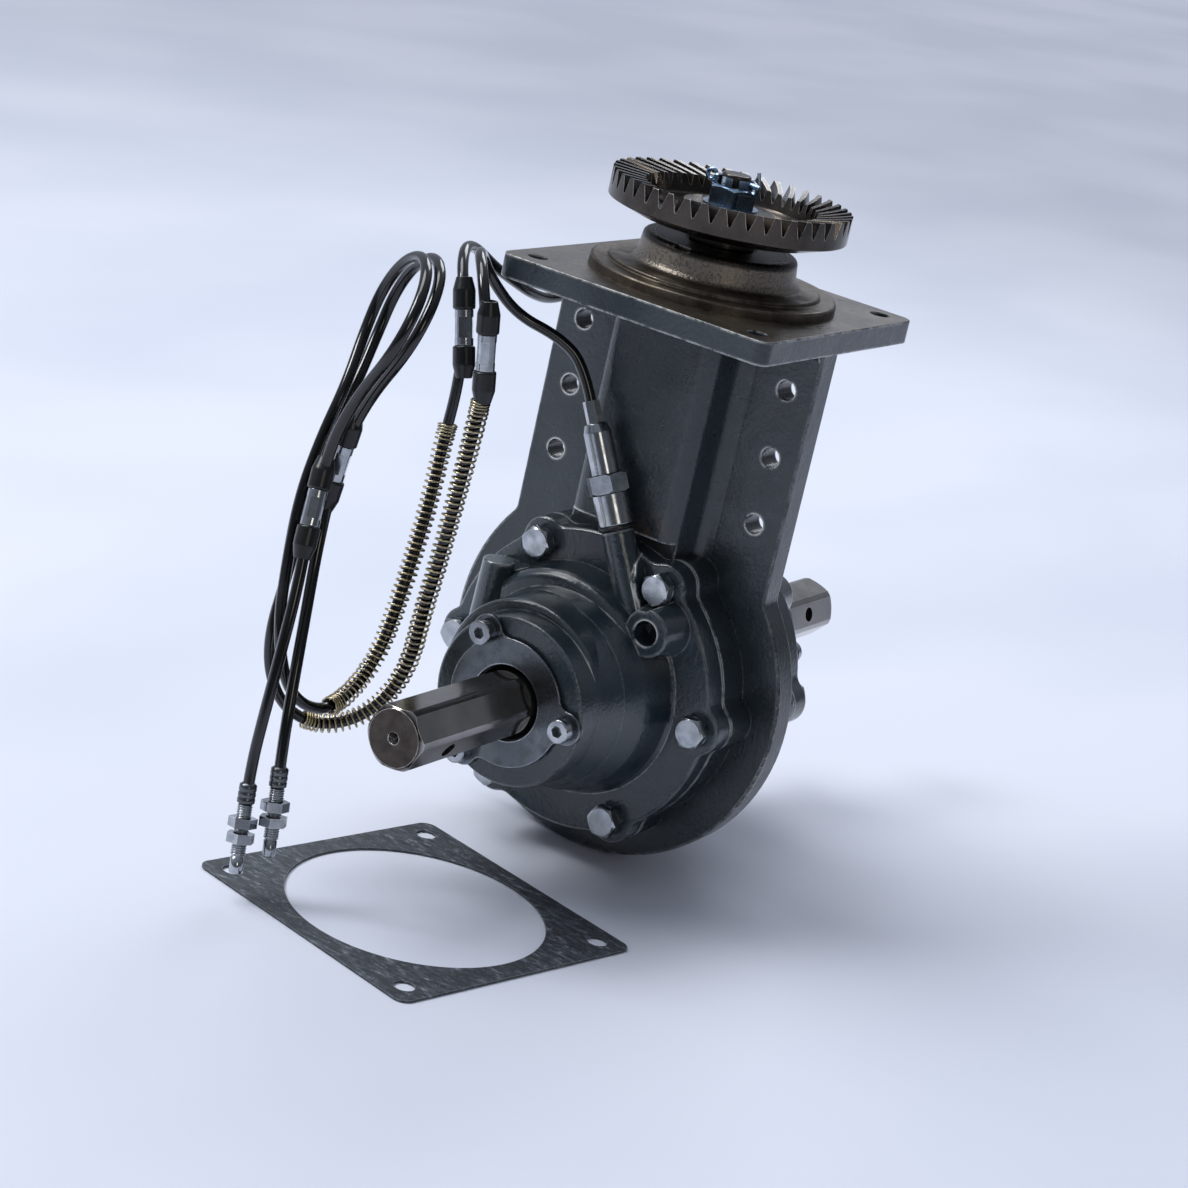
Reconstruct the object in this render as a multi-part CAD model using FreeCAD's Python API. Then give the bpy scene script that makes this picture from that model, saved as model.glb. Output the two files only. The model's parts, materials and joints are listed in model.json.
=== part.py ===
import FreeCAD, Part
import math
import os

V = FreeCAD.Vector

# Tiller gearbox, in millimetres. The origin is the centre of the top flange's face, +Z runs up the
# input shaft, and the two output shafts lie along Y, the front one towards -Y.
# Along the output axis, "out" is the distance from the middle plane of the case.

# Fits
RUNNING = 0.05
EASY = 0.3
FACE_GAP = 0.2

# Top flange of the case
FLANGE_SIDE = 166.0
FLANGE_T = 13.0
FLANGE_CORNER_R = 7.0
FLANGE_PITCH = 137.0
FLANGE_HOLE_D = 11.0

# Wing plate and its round rim
WING_HALF = 82.0
WING_FRONT = -14.0
WING_T = 16.0
WING_HOLE_X = 65.0
WING_HOLE_DROP = 37.0
WING_HOLE_PITCH = 37.5
WING_HOLE_D = 11.0
WING_NECK_R = 8.0
AXIS_DROP = 220.0
RIM_R = 106.0
EDGE_R = 1.5

# Gear drum, with a lobe for each cover bolt
DRUM_HALF = 35.0
WAIST_R = 84.0
BOLT_PCR = 78.0
BOLT_COUNT = 6
LOBE_R = 13.5
LOBE_FILLET_R = 9.0
CAVITY_R = 66.0

# Tunnel for the input shaft, on both faces of the wing
TUNNEL_OUT = 41.0
TUNNEL_FOOT = 47.0
TUNNEL_FACE = 33.0
TUNNEL_CORNER_R = 9.0
TUNNEL_FLARE_R = 8.0
TUNNEL_BORE_R = 26.0
TUNNEL_END = -132.0
UNDER_FILLET = 5.0
TAP_R = 4.25
TAP_DEPTH = 22.0

# Bearing housing on the flange
SPIGOT_R = 49.0
SPIGOT_H = 8.0
HOUSING_FLANGE_R = 67.5
HOUSING_SEAT = 0.5
HOUSING_FLANGE_T = 5.5
HOUSING_TIER_R = 58.0
HOUSING_TIER_T = 2.5
NECK_FOOT_R = 44.0
NECK_TOP_R = 42.0
NECK_TOP = 24.0
NECK_FILLET_R = 5.0
NECK_ROUND_R = 3.0
SHOULDER_R = 30.0

# Ball bearings: bore radius, outside radius, width
UPPER_BEARING = (17.5, 36.0, 17.0)
LOWER_BEARING = (15.0, 31.0, 16.0)
OUTPUT_BEARING = (17.5, 36.0, 17.0)
UPPER_BEARING_Z = -1.0
LOWER_BEARING_Z = -147.0
BALL_COUNT = 9
RING_SHARE = 0.26

# Oil seals
SEAL_W = 8.0
OUTPUT_SEAL_R = 26.0
SEAL_WALL = 2.0
SEAL_LIP_W = 2.5

# Input shaft, pinion and nut
INPUT_SPLINE_R = 15.0
INPUT_THREAD_R = 8.0
INPUT_BODY_R = 16.0
INPUT_TOP = 62.0
PINION_SPLINE_R = 9.0
PINION_HUB_R = 18.5
SPLINE_COUNT = 6
SPLINE_DEPTH = 2.0
NUT_AF = 24.0
NUT_H = 10.0
TAB_T = 1.2
COTTER_R = 1.6

# Input bevel gear
BEVEL_TEETH = 42
BEVEL_R = 65.2
BEVEL_IN_R = 47.0
BEVEL_RIM_Z = 38.5
BEVEL_TIP_Z = 53.5
BEVEL_DISH = 3.5
BEVEL_DEPTH = 9.0
BEVEL_SPIRAL = 22.0
BEVEL_HUB_R = 26.0
BEVEL_HUB_Z = 30.0
BEVEL_SEAT_Z = 44.0
BEVEL_WEB_Z = 39.5

# Inner bevel pair
CROWN_TEETH = 33
PINION_TEETH = 11
CROWN_MODULE = 3.6
PAIR_FACE = 18.0
ADDENDUM = 0.8
DEDENDUM = 1.1
TOOTH_SHARE = 0.40
CROWN_BACK = 29.5
HUB_HALF = 30.0
HUB_R = 27.0
PILOT_R = 14.5

# Dog clutches
DOG_COUNT = 4
DOG_H = 5.0
DOG_IN_R = 18.0
DOG_PLAY_DEG = 1.5
SLEEVE_END = 72.0
GROOVE_R = 21.0
CLUTCH_TRAVEL = 7.0
SPRING_WIRE_R = 1.5
SPRING_TURNS = 3.5

# Output shafts
SHAFT_R = 17.5
SPLINE_OUT_R = 17.0
HEX_AF = 32.0
HEX_END = 219.0
HEX_CHAMFER = 2.0
FRONT_HEX_TURN = 4.0
REAR_HEX_TURN = 46.0
PIN_HOLE_D = 9.0
PIN_HOLE_FROM_END = 30.0
CENTRE_DRILL_R = 3.2
CENTRE_DRILL_DEPTH = 5.0
SHAFT_GAP = 1.0

# Side covers
GASKET_T = 1.0
COVER_FLANGE_T = 14.0
COVER_FACE = 117.0
DOME_FOOT_R = 61.0
DOME_SHOULDER_R = 52.0
DOME_NOSE_R = 46.0
DOME_SHOULDER_OUT = 84.0
COVER_CAVITY_R = 50.0
COVER_CAVITY_END = 84.0
LEDGE_SHIFT = 4.5
LEDGE_R = 49.0
LEDGE_OUT = 104.0
BULGE_SHIFT = 8.0
BULGE_R = 57.0
BULGE_OUT = 74.0

# Seal retainer plate and its screws
RETAINER_T = 3.0
RETAINER_HOLE_R = 20.8
RETAINER_WAIST_R = 35.0
RETAINER_SCREW_R = 39.0
RETAINER_LOBE_R = 9.0
RETAINER_FILLET_R = 6.0
RETAINER_SCREWS = 3
SCREW_R = 4.0
SCREW_HEAD_R = 6.5
SCREW_HEAD_H = 8.0
SCREW_KEY_AF = 6.0
SCREW_LENGTH = 10.0

# Cover bolts and washers
BOLT_R = 5.0
BOLT_AF = 16.0
BOLT_HEAD_H = 6.4
BOLT_LENGTH = 35.0
WASHER_R = 8.3
WASHER_T = 2.4

# Inclined clutch plunger and its cable fitting
CABLE_LEAN = 28.0
PLUNGER_OUT = 54.0
PLUNGER_OFFSET = 48.0
PLUNGER_R = 6.0
PLUNGER_FOOT = 20.0
PLUNGER_TOP = 78.0
PLUNGER_TRAVEL = 14.0
NOTCH_DEPTH = 7.5
BOSS_TOP = 76.5
BOSS_R = 8.8
BOSS_START = 20.0
WIRE_R = 1.0
WIRE_TOP = 118.0
SOCKET_R = 9.5
SOCKET_H = 20.0
COLLAR_AF = 20.0
COLLAR_H = 10.0
CABLE_SLEEVE_R = 7.5
CABLE_SLEEVE_H = 28.0
FERRULE_AF = 8.0
FERRULE_H = 12.1
ORING_R = 1.2
ORING_SEAT_R = 8.0

# Stop-screw hole and blind boss on each cover
STOP_HOLE_X = 45.7
STOP_HOLE_UP = 47.4
STOP_HOLE_R = 7.0
STOP_BOSS_R = 13.0
STOP_BOSS_OUT = 70.0
STOP_HOLE_FLOOR = 54.0
BLIND_BOSS_X = -52.0
BLIND_BOSS_OUT = 78.0
BLIND_BOSS_R = 9.0
BLIND_BOSS_UP = 55.0

# Shift fork
FORK_T = 5.9
FORK_RING_R = 33.0
FORK_ARM_W = 8.0
FORK_ARM_END = 49.3
FORK_PIN_R = 3.5
FORK_PIN_RADIUS = 42.0
FORK_BUSH_R = 7.0
FORK_BUSH_W = 16.0
FORK_PIN_INNER = 42.0
FORK_PIN_DEPTH = 7.0

# Cables: a sheath, two in-line adjusters, a coil guard and a threaded end barrel each
SHEATH_R = 3.0
ADJUSTER_R = 5.0
ADJUSTER_H = 19.0
ADJUSTER_FLAT = 9.0
BOOT_R = 6.0
BOOT_TIP_R = 4.2
BOOT_H = 17.0
GUARD_R = 6.0
GUARD_BORE_R = 5.0
BARREL_R = 4.0
BARREL_H = 36.0
BARREL_TUBE_R = 3.4
BARREL_NUT_AF = 13.0
BARREL_NUT_H = 5.0

# Loose gasket for the top flange
LOOSE_T = 1.0
LOOSE_SIDE = 164.0
LOOSE_BORE_R = 69.5
LOOSE_HOLE_D = 11.0
LOOSE_X = 2.0
LOOSE_Y = -168.0
LOOSE_TURN_DEG = -12.0

# Worked-out places
WING_BACK = WING_FRONT + WING_T
COVER_IN = DRUM_HALF + GASKET_T
COVER_OUT = COVER_IN + COVER_FLANGE_T
SEAL_OUT_START = COVER_FACE - SEAL_W
BEARING_OUT_END = SEAL_OUT_START
BEARING_OUT_START = BEARING_OUT_END - OUTPUT_BEARING[2]
SLEEVE_START = HUB_HALF + DOG_H + FACE_GAP
LEAN = math.radians(CABLE_LEAN)
PITCH_CROWN_R = CROWN_MODULE * CROWN_TEETH / 2
PITCH_PINION_R = CROWN_MODULE * PINION_TEETH / 2
CONE_OUT = math.hypot(PITCH_CROWN_R, PITCH_PINION_R)
CONE_IN = CONE_OUT - PAIR_FACE
FORK_START = PLUNGER_OUT + PLUNGER_R - NOTCH_DEPTH + FACE_GAP
FLOOR_Z = -AXIS_DROP - RIM_R
Y_AXIS = V(0, 1, 0)
Z_AXIS = V(0, 0, 1)
OUT = V(0, -1, 0)
ORIGIN = V(0, 0, 0)
MIDDLE = V(0, 0, -AXIS_DROP)
BOLT_ANGLES = [360 / BOLT_COUNT * i for i in range(BOLT_COUNT)]
LEAN_ALONG = V(-math.sin(LEAN), 0, math.cos(LEAN))
LEAN_SIDE = V(math.cos(LEAN), 0, math.sin(LEAN))
PLUNGER_BASE = MIDDLE + OUT * PLUNGER_OUT + LEAN_SIDE * PLUNGER_OFFSET
COLLAR_START = BOSS_TOP + SOCKET_H
CABLE_SLEEVE_START = COLLAR_START + COLLAR_H
FERRULE_START = CABLE_SLEEVE_START + CABLE_SLEEVE_H

# Cable routes, from the ferrule over the top loop, down, up, over again and down to the end barrel
FRONT_ROUTE = [
    V(-26.5, -54, -68), V(-36, -54, -50), V(-50, -61, -39), V(-71, -74, -32), V(-83, -88, -14),
    V(-81, -103, 0), V(-71, -121, 5), V(-57, -136, -2), V(-46, -143, -19), V(-42, -142, -36),
    V(-39, -141, -59), V(-42, -138, -87), V(-44, -138, -119), V(-44, -142, -153), V(-46, -144, -182),
    V(-50, -140, -215), V(-58, -149, -239), V(-70, -164, -251), V(-83, -181, -250), V(-94, -194, -236),
    V(-101, -199, -208), V(-103, -188, -169), V(-108, -180, -136), V(-107, -171, -104),
    V(-104, -160, -74), V(-110, -141, -50), V(-108, -135, -26), V(-96, -138, -7), V(-78, -149, 2),
    V(-62, -165, -3), V(-55, -179, -18), V(-58, -188, -40), V(-77, -183, -68), V(-86, -184, -94),
    V(-88, -187, -121), V(-85, -193, -152), V(-76, -205, -182), V(-67, -217, -211),
    V(-60, -226, -241), V(-56, -229, -267)]
REAR_ROUTE = [
    V(-26.5, 54, -68), V(-36, 54, -50), V(-52, 56, -35), V(-73, 57, -30), V(-93, 50, -33),
    V(-105, 33, -38), V(-106, 12, -40), V(-105, -8, -35), V(-107, -24, -28), V(-109, -44, -19),
    V(-112, -61, -8), V(-107, -80, -4), V(-96, -97, -10), V(-84, -107, -24), V(-78, -109, -43),
    V(-74, -111, -69), V(-74, -114, -99), V(-71, -120, -131), V(-69, -128, -160),
    V(-67, -137, -187), V(-69, -142, -214), V(-69, -158, -231), V(-69, -179, -239),
    V(-71, -200, -233), V(-75, -214, -218), V(-83, -217, -190), V(-97, -200, -163),
    V(-102, -193, -130), V(-102, -184, -99), V(-100, -174, -71), V(-108, -156, -48),
    V(-107, -149, -24), V(-95, -152, -5), V(-77, -163, 4), V(-61, -179, 0), V(-53, -194, -15),
    V(-56, -203, -38), V(-74, -198, -65), V(-84, -198, -90), V(-86, -200, -114), V(-82, -208, -138),
    V(-75, -218, -167), V(-71, -227, -198), V(-69, -234, -231), V(-68, -238, -258),
    V(-65, -241, -277)]

# Run and share of it where each adjuster sits, and the first point, last point and start share of the guard
FRONT_ON_RUNS = ((10, 0.1), (34, 0.5), (10, 18, 0.2))
REAR_ON_RUNS = ((14, 0.8), (40, 0.6), (15, 22, 0.7))

# Outlines


def beyond(axis, out):
    """Point on the output axis at a distance out from the middle plane, on the front side."""
    return MIDDLE + axis * out


def rounded_face(points, place):
    """Flat face from a closed run of (a, b, corner radius) points that place() maps into space."""
    corners = []
    for i, (a, b, radius) in enumerate(points):
        corner = V(a, b, 0)
        if radius <= 0:
            corners.append((corner, corner, corner))
            continue
        before = V(points[i - 1][0], points[i - 1][1], 0) - corner
        after = V(points[(i + 1) % len(points)][0], points[(i + 1) % len(points)][1], 0) - corner
        before.normalize()
        after.normalize()
        half = before.getAngle(after) / 2
        cut = radius / math.tan(half)
        inward = before + after
        inward.normalize()
        middle = corner + inward * (radius / math.sin(half) - radius)
        corners.append((corner + before * cut, middle, corner + after * cut))
    edges = []
    for i, (start, middle, end) in enumerate(corners):
        leaving = corners[i - 1][2]
        if (start - leaving).Length > 1e-6:
            edges.append(Part.LineSegment(place(leaving.x, leaving.y), place(start.x, start.y)).toShape())
        if (end - start).Length > 1e-6:
            arc = Part.Arc(place(start.x, start.y), place(middle.x, middle.y), place(end.x, end.y))
            edges.append(arc.toShape())
    return Part.Face(Part.Wire(Part.__sortEdges__(edges)))


def arcs_face(arcs, place):
    """Flat face from arcs given as (start, middle, end) pairs of numbers, joined end to end."""
    edges = [Part.Arc(place(*start), place(*middle), place(*end)).toShape() for start, middle, end in arcs]
    return Part.Face(Part.Wire(Part.__sortEdges__(edges)))


def polar(radius, degrees):
    return radius * math.cos(math.radians(degrees)), radius * math.sin(math.radians(degrees))


def lobed_face(place, angles, bolt_r, lobe_r, waist_r, fillet_r):
    """Round waist with a lobe around each bolt, joined by hollow fillet arcs that touch both."""
    reach = waist_r + fillet_r
    opening = (bolt_r ** 2 + reach ** 2 - (lobe_r + fillet_r) ** 2) / (2 * bolt_r * reach)
    spread = math.degrees(math.acos(opening))
    arcs = []
    for i, angle in enumerate(angles):
        centre = V(*polar(bolt_r, angle), 0)
        touches = []
        for side in (-1, 1):
            hollow = V(*polar(reach, angle + side * spread), 0)
            toward = centre - hollow
            toward.normalize()
            on_lobe = hollow + toward * fillet_r
            on_waist = V(*polar(waist_r, angle + side * spread), 0)
            between = (on_lobe + on_waist) * 0.5 - hollow
            between.normalize()
            touches.append((on_waist, hollow + between * fillet_r, on_lobe))
        first, last = touches
        tip = V(*polar(bolt_r + lobe_r, angle), 0)
        after = angles[(i + 1) % len(angles)] + (360 if i == len(angles) - 1 else 0)
        waist_end = V(*polar(waist_r, after - spread), 0)
        waist_middle = V(*polar(waist_r, (angle + after) / 2), 0)
        arcs.append((first[0], first[1], first[2]))
        arcs.append((first[2], tip, last[2]))
        arcs.append((last[2], last[1], last[0]))
        arcs.append((last[0], waist_middle, waist_end))
    flat = [[(p.x, p.y) for p in arc] for arc in arcs]
    return arcs_face(flat, place)


def across(out):
    """Map (a, b) into the plane square to the output axis, out from the middle on the front side."""
    return lambda a, b: V(a, -out, b - AXIS_DROP)


def level(z):
    """Map (a, b) into the level plane at height z."""
    return lambda a, b: V(a, b, z)


# Solids of one stroke


def cylinder(radius, start, axis, length):
    return Part.makeCylinder(radius, length, start, axis)


def ring(outside_r, inside_r, start, axis, length):
    return cylinder(outside_r, start, axis, length).cut(cylinder(inside_r, start, axis, length))


def side_of(axis):
    """A unit vector square to the axis."""
    guess = V(1, 0, 0) if abs(axis.x) < 0.9 else V(0, 1, 0)
    side = guess - axis * guess.dot(axis)
    side.normalize()
    return side


def turned(profile, base, axis):
    """Solid of revolution from (radius, distance along the axis, corner radius) points."""
    side = side_of(axis)
    face = rounded_face(profile, lambda r, s: base + side * r + axis * s)
    return face.revolve(base, axis, 360)


def prism(sides, flats, start, axis, length, turn=0.0):
    """Regular prism across its flats; turn is the angle of the first corner from side_of(axis)."""
    side = side_of(axis)
    other = axis.cross(side)
    corner_r = flats / 2 / math.cos(math.pi / sides)
    corners = []
    for i in range(sides + 1):
        a, b = polar(corner_r, turn + 360 / sides * i)
        corners.append(start + side * a + other * b)
    return Part.Face(Part.makePolygon(corners)).extrude(axis * length)


def together(first, *rest):
    """One solid from pieces that overlap, joined one by one, without the seams between them."""
    for piece in rest:
        first = first.fuse(piece)
    return first.removeSplitter()


def eased(shape, radius, chosen):
    """Shape with the edges rounded for which chosen(edge) is true."""
    edges = [edge for edge in shape.Edges if chosen(edge)]
    return shape.makeFillet(radius, edges)


def lies_at(edge, axis, height):
    """True if the whole edge lies in the plane square to the axis at this height."""
    return all(abs(vertex.Point.dot(axis) - height) < 1e-4 for vertex in edge.Vertexes)


def splined(root_r, tip_r, start, axis, length, gap=0.0):
    """Straight-sided spline shaft; gap widens it into the cutter for its hub."""
    body = cylinder(root_r + gap, start, axis, length)
    width = math.pi * (root_r + tip_r) / 2 / SPLINE_COUNT * 0.9 + 2 * gap
    side = side_of(axis)
    other = axis.cross(side)
    for i in range(SPLINE_COUNT):
        a, b = polar(1, 360 / SPLINE_COUNT * i)
        along = side * a + other * b
        wide = axis.cross(along)
        corner = start - wide * (width / 2)
        points = [corner, corner + wide * width, corner + wide * width + along * (tip_r + 2),
                  corner + along * (tip_r + 2)]
        key = Part.Face(Part.makePolygon(points + [points[0]])).extrude(axis * length)
        body = body.fuse(key)
    return body.common(cylinder(tip_r + gap, start, axis, length)).removeSplitter()


def rear(shape):
    """The same piece on the other side of the middle plane."""
    return shape.mirror(ORIGIN, Y_AXIS)


def turned_about(shape, base, axis, degrees):
    copy = shape.copy()
    copy.rotate(base, axis, degrees)
    return copy

# Case


def wing_plate():
    """Plate that hangs from the flange and widens into the round rim about the gear drum."""
    hollow_x = WING_HALF + WING_NECK_R
    hollow_up = math.sqrt((RIM_R + WING_NECK_R) ** 2 - hollow_x ** 2)
    share = RIM_R / (RIM_R + WING_NECK_R)
    touch = V(hollow_x * share, hollow_up * share, 0)
    hollow = V(hollow_x, hollow_up, 0)
    inner = V(WING_HALF, hollow_up, 0)
    bisector = (touch + inner) * 0.5 - hollow
    bisector.normalize()
    middle = hollow + bisector * WING_NECK_R
    top = AXIS_DROP - FLANGE_T + 1
    place = across(-WING_FRONT)
    edges = [Part.LineSegment(place(-WING_HALF, top), place(WING_HALF, top)).toShape()]
    for side in (-1, 1):
        edges.append(Part.LineSegment(place(side * WING_HALF, top), place(side * inner.x, inner.y)).toShape())
        arc = Part.Arc(place(side * inner.x, inner.y), place(side * middle.x, middle.y),
                       place(side * touch.x, touch.y))
        edges.append(arc.toShape())
    rim = Part.Arc(place(touch.x, touch.y), place(0, -RIM_R), place(-touch.x, touch.y))
    edges.append(rim.toShape())
    plate = Part.Face(Part.Wire(Part.__sortEdges__(edges))).extrude(V(0, WING_T, 0))

    def on_a_face(edge):
        at_face = lies_at(edge, Y_AXIS, WING_FRONT) or lies_at(edge, Y_AXIS, WING_BACK)
        return at_face and edge.BoundBox.ZMin < -FLANGE_T

    return eased(plate, EDGE_R, on_a_face)


def flange_plate():
    half = FLANGE_SIDE / 2
    corners = [(-half, -half, FLANGE_CORNER_R), (half, -half, FLANGE_CORNER_R),
               (half, half, FLANGE_CORNER_R), (-half, half, FLANGE_CORNER_R)]
    plate = rounded_face(corners, level(-FLANGE_T)).extrude(V(0, 0, FLANGE_T))
    return eased(plate, 0.8, lambda edge: lies_at(edge, Z_AXIS, 0) or lies_at(edge, Z_AXIS, -FLANGE_T))


def tunnel_outline():
    """Level outline of the tunnel: flared feet on the wing, rounded outer corners."""
    foot, face, deep = TUNNEL_FOOT, TUNNEL_FACE, TUNNEL_OUT
    shin = face + 3.5
    front_foot, back_foot = WING_FRONT + 0.5, WING_BACK - 0.5
    return [(-foot, front_foot, 0), (-shin, front_foot - 2, TUNNEL_FLARE_R), (-face, -deep, TUNNEL_CORNER_R),
            (face, -deep, TUNNEL_CORNER_R), (shin, front_foot - 2, TUNNEL_FLARE_R), (foot, front_foot, 0),
            (foot, back_foot, 0), (shin, back_foot + 2, TUNNEL_FLARE_R), (face, deep, TUNNEL_CORNER_R),
            (-face, deep, TUNNEL_CORNER_R), (-shin, back_foot + 2, TUNNEL_FLARE_R), (-foot, back_foot, 0)]


def under_fillet(wall, away):
    """Cast fillet between the underside of the flange and one face of the wing."""
    top = -FLANGE_T + 0.5
    low = -FLANGE_T - UNDER_FILLET
    middle = UNDER_FILLET * (1 - math.sqrt(0.5))
    start = V(-WING_HALF + 2, wall - away, top)
    corner = V(-WING_HALF + 2, wall + away * UNDER_FILLET, top)
    arc_top = V(-WING_HALF + 2, wall + away * UNDER_FILLET, -FLANGE_T)
    arc_middle = V(-WING_HALF + 2, wall + away * middle, -FLANGE_T - middle)
    arc_low = V(-WING_HALF + 2, wall, low)
    inside = V(-WING_HALF + 2, wall - away, low)
    edges = [Part.LineSegment(start, corner).toShape(), Part.LineSegment(corner, arc_top).toShape(),
             Part.Arc(arc_top, arc_middle, arc_low).toShape(), Part.LineSegment(arc_low, inside).toShape(),
             Part.LineSegment(inside, start).toShape()]
    return Part.Face(Part.Wire(edges)).extrude(V(2 * WING_HALF - 4, 0, 0))


def gear_drum():
    outline = lobed_face(across(DRUM_HALF), BOLT_ANGLES, BOLT_PCR, LOBE_R, WAIST_R, LOBE_FILLET_R)
    return outline.extrude(V(0, 2 * DRUM_HALF, 0))


def main_case():
    tunnel_face = rounded_face(tunnel_outline(), level(TUNNEL_END))
    tunnel = tunnel_face.extrude(V(0, 0, -FLANGE_T + 0.5 - TUNNEL_END))
    root_face = rounded_face(tunnel_outline(), level(-AXIS_DROP + CAVITY_R))
    root = root_face.extrude(V(0, 0, TUNNEL_END + AXIS_DROP - CAVITY_R + 1))
    slab = Part.makeBox(200, 2 * DRUM_HALF, 200, V(-100, -DRUM_HALF, -AXIS_DROP))
    case = together(flange_plate(), wing_plate(), tunnel, root.common(slab), gear_drum(),
                    under_fillet(WING_FRONT, -1), under_fillet(WING_BACK, 1))
    lower_r = LOWER_BEARING[1]
    lower_top = LOWER_BEARING_Z + LOWER_BEARING[2]
    cutters = [cylinder(SPIGOT_R, V(0, 0, -SPIGOT_H), Z_AXIS, SPIGOT_H + 1),
               cylinder(HOUSING_FLANGE_R + 0.2, V(0, 0, -HOUSING_SEAT), Z_AXIS, HOUSING_SEAT + 1),
               cylinder(TUNNEL_BORE_R, V(0, 0, lower_top - 1), Z_AXIS, -lower_top),
               cylinder(lower_r, V(0, 0, LOWER_BEARING_Z - 20), Z_AXIS, LOWER_BEARING[2] + 20),
               cylinder(CAVITY_R, beyond(OUT, -DRUM_HALF - 1), OUT, 2 * DRUM_HALF + 2)]
    for x in (-FLANGE_PITCH / 2, FLANGE_PITCH / 2):
        for y in (-FLANGE_PITCH / 2, FLANGE_PITCH / 2):
            cutters.append(cylinder(FLANGE_HOLE_D / 2, V(x, y, -FLANGE_T - 1), Z_AXIS, FLANGE_T + 2))
    for x in (-WING_HOLE_X, WING_HOLE_X):
        for row in range(3):
            z = -WING_HOLE_DROP - row * WING_HOLE_PITCH
            cutters.append(cylinder(WING_HOLE_D / 2, V(x, WING_FRONT - 1, z), Y_AXIS, WING_T + 2))
    for angle in BOLT_ANGLES:
        a, b = polar(BOLT_PCR, angle)
        foot = MIDDLE + V(a, 0, b)
        for axis in (OUT, Y_AXIS):
            cutters.append(cylinder(TAP_R, foot + axis * (DRUM_HALF - TAP_DEPTH), axis, TAP_DEPTH + 1))
    return case.cut(cutters)


# Bearing housing on the flange, bearings and seals


def bearing_housing():
    bore = UPPER_BEARING[1]
    seal_floor = NECK_TOP - SEAL_W
    tier_top = HOUSING_FLANGE_T + HOUSING_TIER_T
    profile = [(SHOULDER_R, -SPIGOT_H, 0.8), (SPIGOT_R, -SPIGOT_H, 0.8),
               (SPIGOT_R, -HOUSING_SEAT, 0), (HOUSING_FLANGE_R, -HOUSING_SEAT, 0.6),
               (HOUSING_FLANGE_R, HOUSING_FLANGE_T, 1.5),
               (HOUSING_TIER_R, HOUSING_FLANGE_T, 0.8), (HOUSING_TIER_R, tier_top, 1.2),
               (NECK_FOOT_R, tier_top, NECK_FILLET_R), (NECK_TOP_R, NECK_TOP, NECK_ROUND_R),
               (bore, NECK_TOP, 0), (bore, seal_floor, 0), (bore, UPPER_BEARING_Z, 0),
               (SHOULDER_R, UPPER_BEARING_Z, 0)]
    body = turned(profile, ORIGIN, Z_AXIS)
    notch = Part.makeBox(9, 5, 3, V(-4.5, -NECK_TOP_R - 1.5, NECK_TOP - 2))
    return body.cut(notch)


def groove_radius(bearing):
    bore, outside, _ = bearing
    return (outside - bore) / 2 * (1 - 2 * RING_SHARE) + 1.5


def outer_race(bearing, start, axis):
    bore, outside, width = bearing
    inside = outside - (outside - bore) * RING_SHARE
    profile = [(inside, 0, 0.5), (outside, 0, 1.0), (outside, width, 1.0), (inside, width, 0.5)]
    groove = Part.makeTorus((bore + outside) / 2, groove_radius(bearing) + RUNNING,
                            start + axis * (width / 2), axis)
    return turned(profile, start, axis).cut(groove)


def inner_race(bearing, start, axis):
    """Inner ring with its balls and cage, which turn with the shaft."""
    bore, outside, width = bearing
    edge = bore + (outside - bore) * RING_SHARE
    middle = start + axis * (width / 2)
    pitch_r = (bore + outside) / 2
    ball_r = groove_radius(bearing)
    profile = [(bore, 0, 1.0), (edge, 0, 0.5), (edge, width, 0.5), (bore, width, 1.0)]
    groove = Part.makeTorus(pitch_r, ball_r + RUNNING, middle, axis)
    race = turned(profile, start, axis).cut(groove)
    side = side_of(axis)
    other = axis.cross(side)
    balls, pockets = [], []
    for i in range(BALL_COUNT):
        a, b = polar(1, 360 / BALL_COUNT * i)
        outward = side * a + other * b
        balls.append(Part.makeSphere(ball_r, middle + outward * pitch_r))
        pockets.append(cylinder(ball_r + EASY, middle + outward * (pitch_r - 4), outward, 8))
    cage_h = 2 * (ball_r + EASY + 0.9)
    cage = ring(pitch_r + 1, pitch_r - 1, middle - axis * (cage_h / 2), axis, cage_h).cut(pockets)
    return Part.makeCompound([race, cage] + balls)


def oil_seal(outside_r, shaft_r, start, axis):
    """Metal-cased lip seal: a can with a thin web and a lip that all but touches the shaft."""
    lip = shaft_r + RUNNING
    web = SEAL_W - SEAL_WALL
    profile = [(outside_r - SEAL_WALL, 0, 0), (outside_r, 0, 0.5), (outside_r, SEAL_W, 0.8),
               (lip + 2.5, SEAL_W, 0.6), (lip + 2.0, web + 1.0, 0), (lip, web - 0.5, 0.4),
               (lip, web - 3.0, 0.4), (lip + 2.0, web - 3.5, 0.5), (lip + 3.0, web, 0),
               (outside_r - SEAL_WALL, web, 0.5)]
    return turned(profile, start, axis)


# Side covers


def plunger_at(s):
    return PLUNGER_BASE + LEAN_ALONG * s


def cover_gasket():
    outline = lobed_face(across(COVER_IN), BOLT_ANGLES, BOLT_PCR, LOBE_R, WAIST_R, LOBE_FILLET_R)
    sheet = outline.extrude(V(0, GASKET_T, 0))
    cutters = [cylinder(CAVITY_R, beyond(OUT, DRUM_HALF - 1), OUT, GASKET_T + 2)]
    for angle in BOLT_ANGLES:
        a, b = polar(BOLT_PCR, angle)
        cutters.append(cylinder(BOLT_R + EASY, MIDDLE + V(a, 0, b) + OUT * (DRUM_HALF - 1), OUT,
                                GASKET_T + 2))
    return sheet.cut(cutters)


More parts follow.
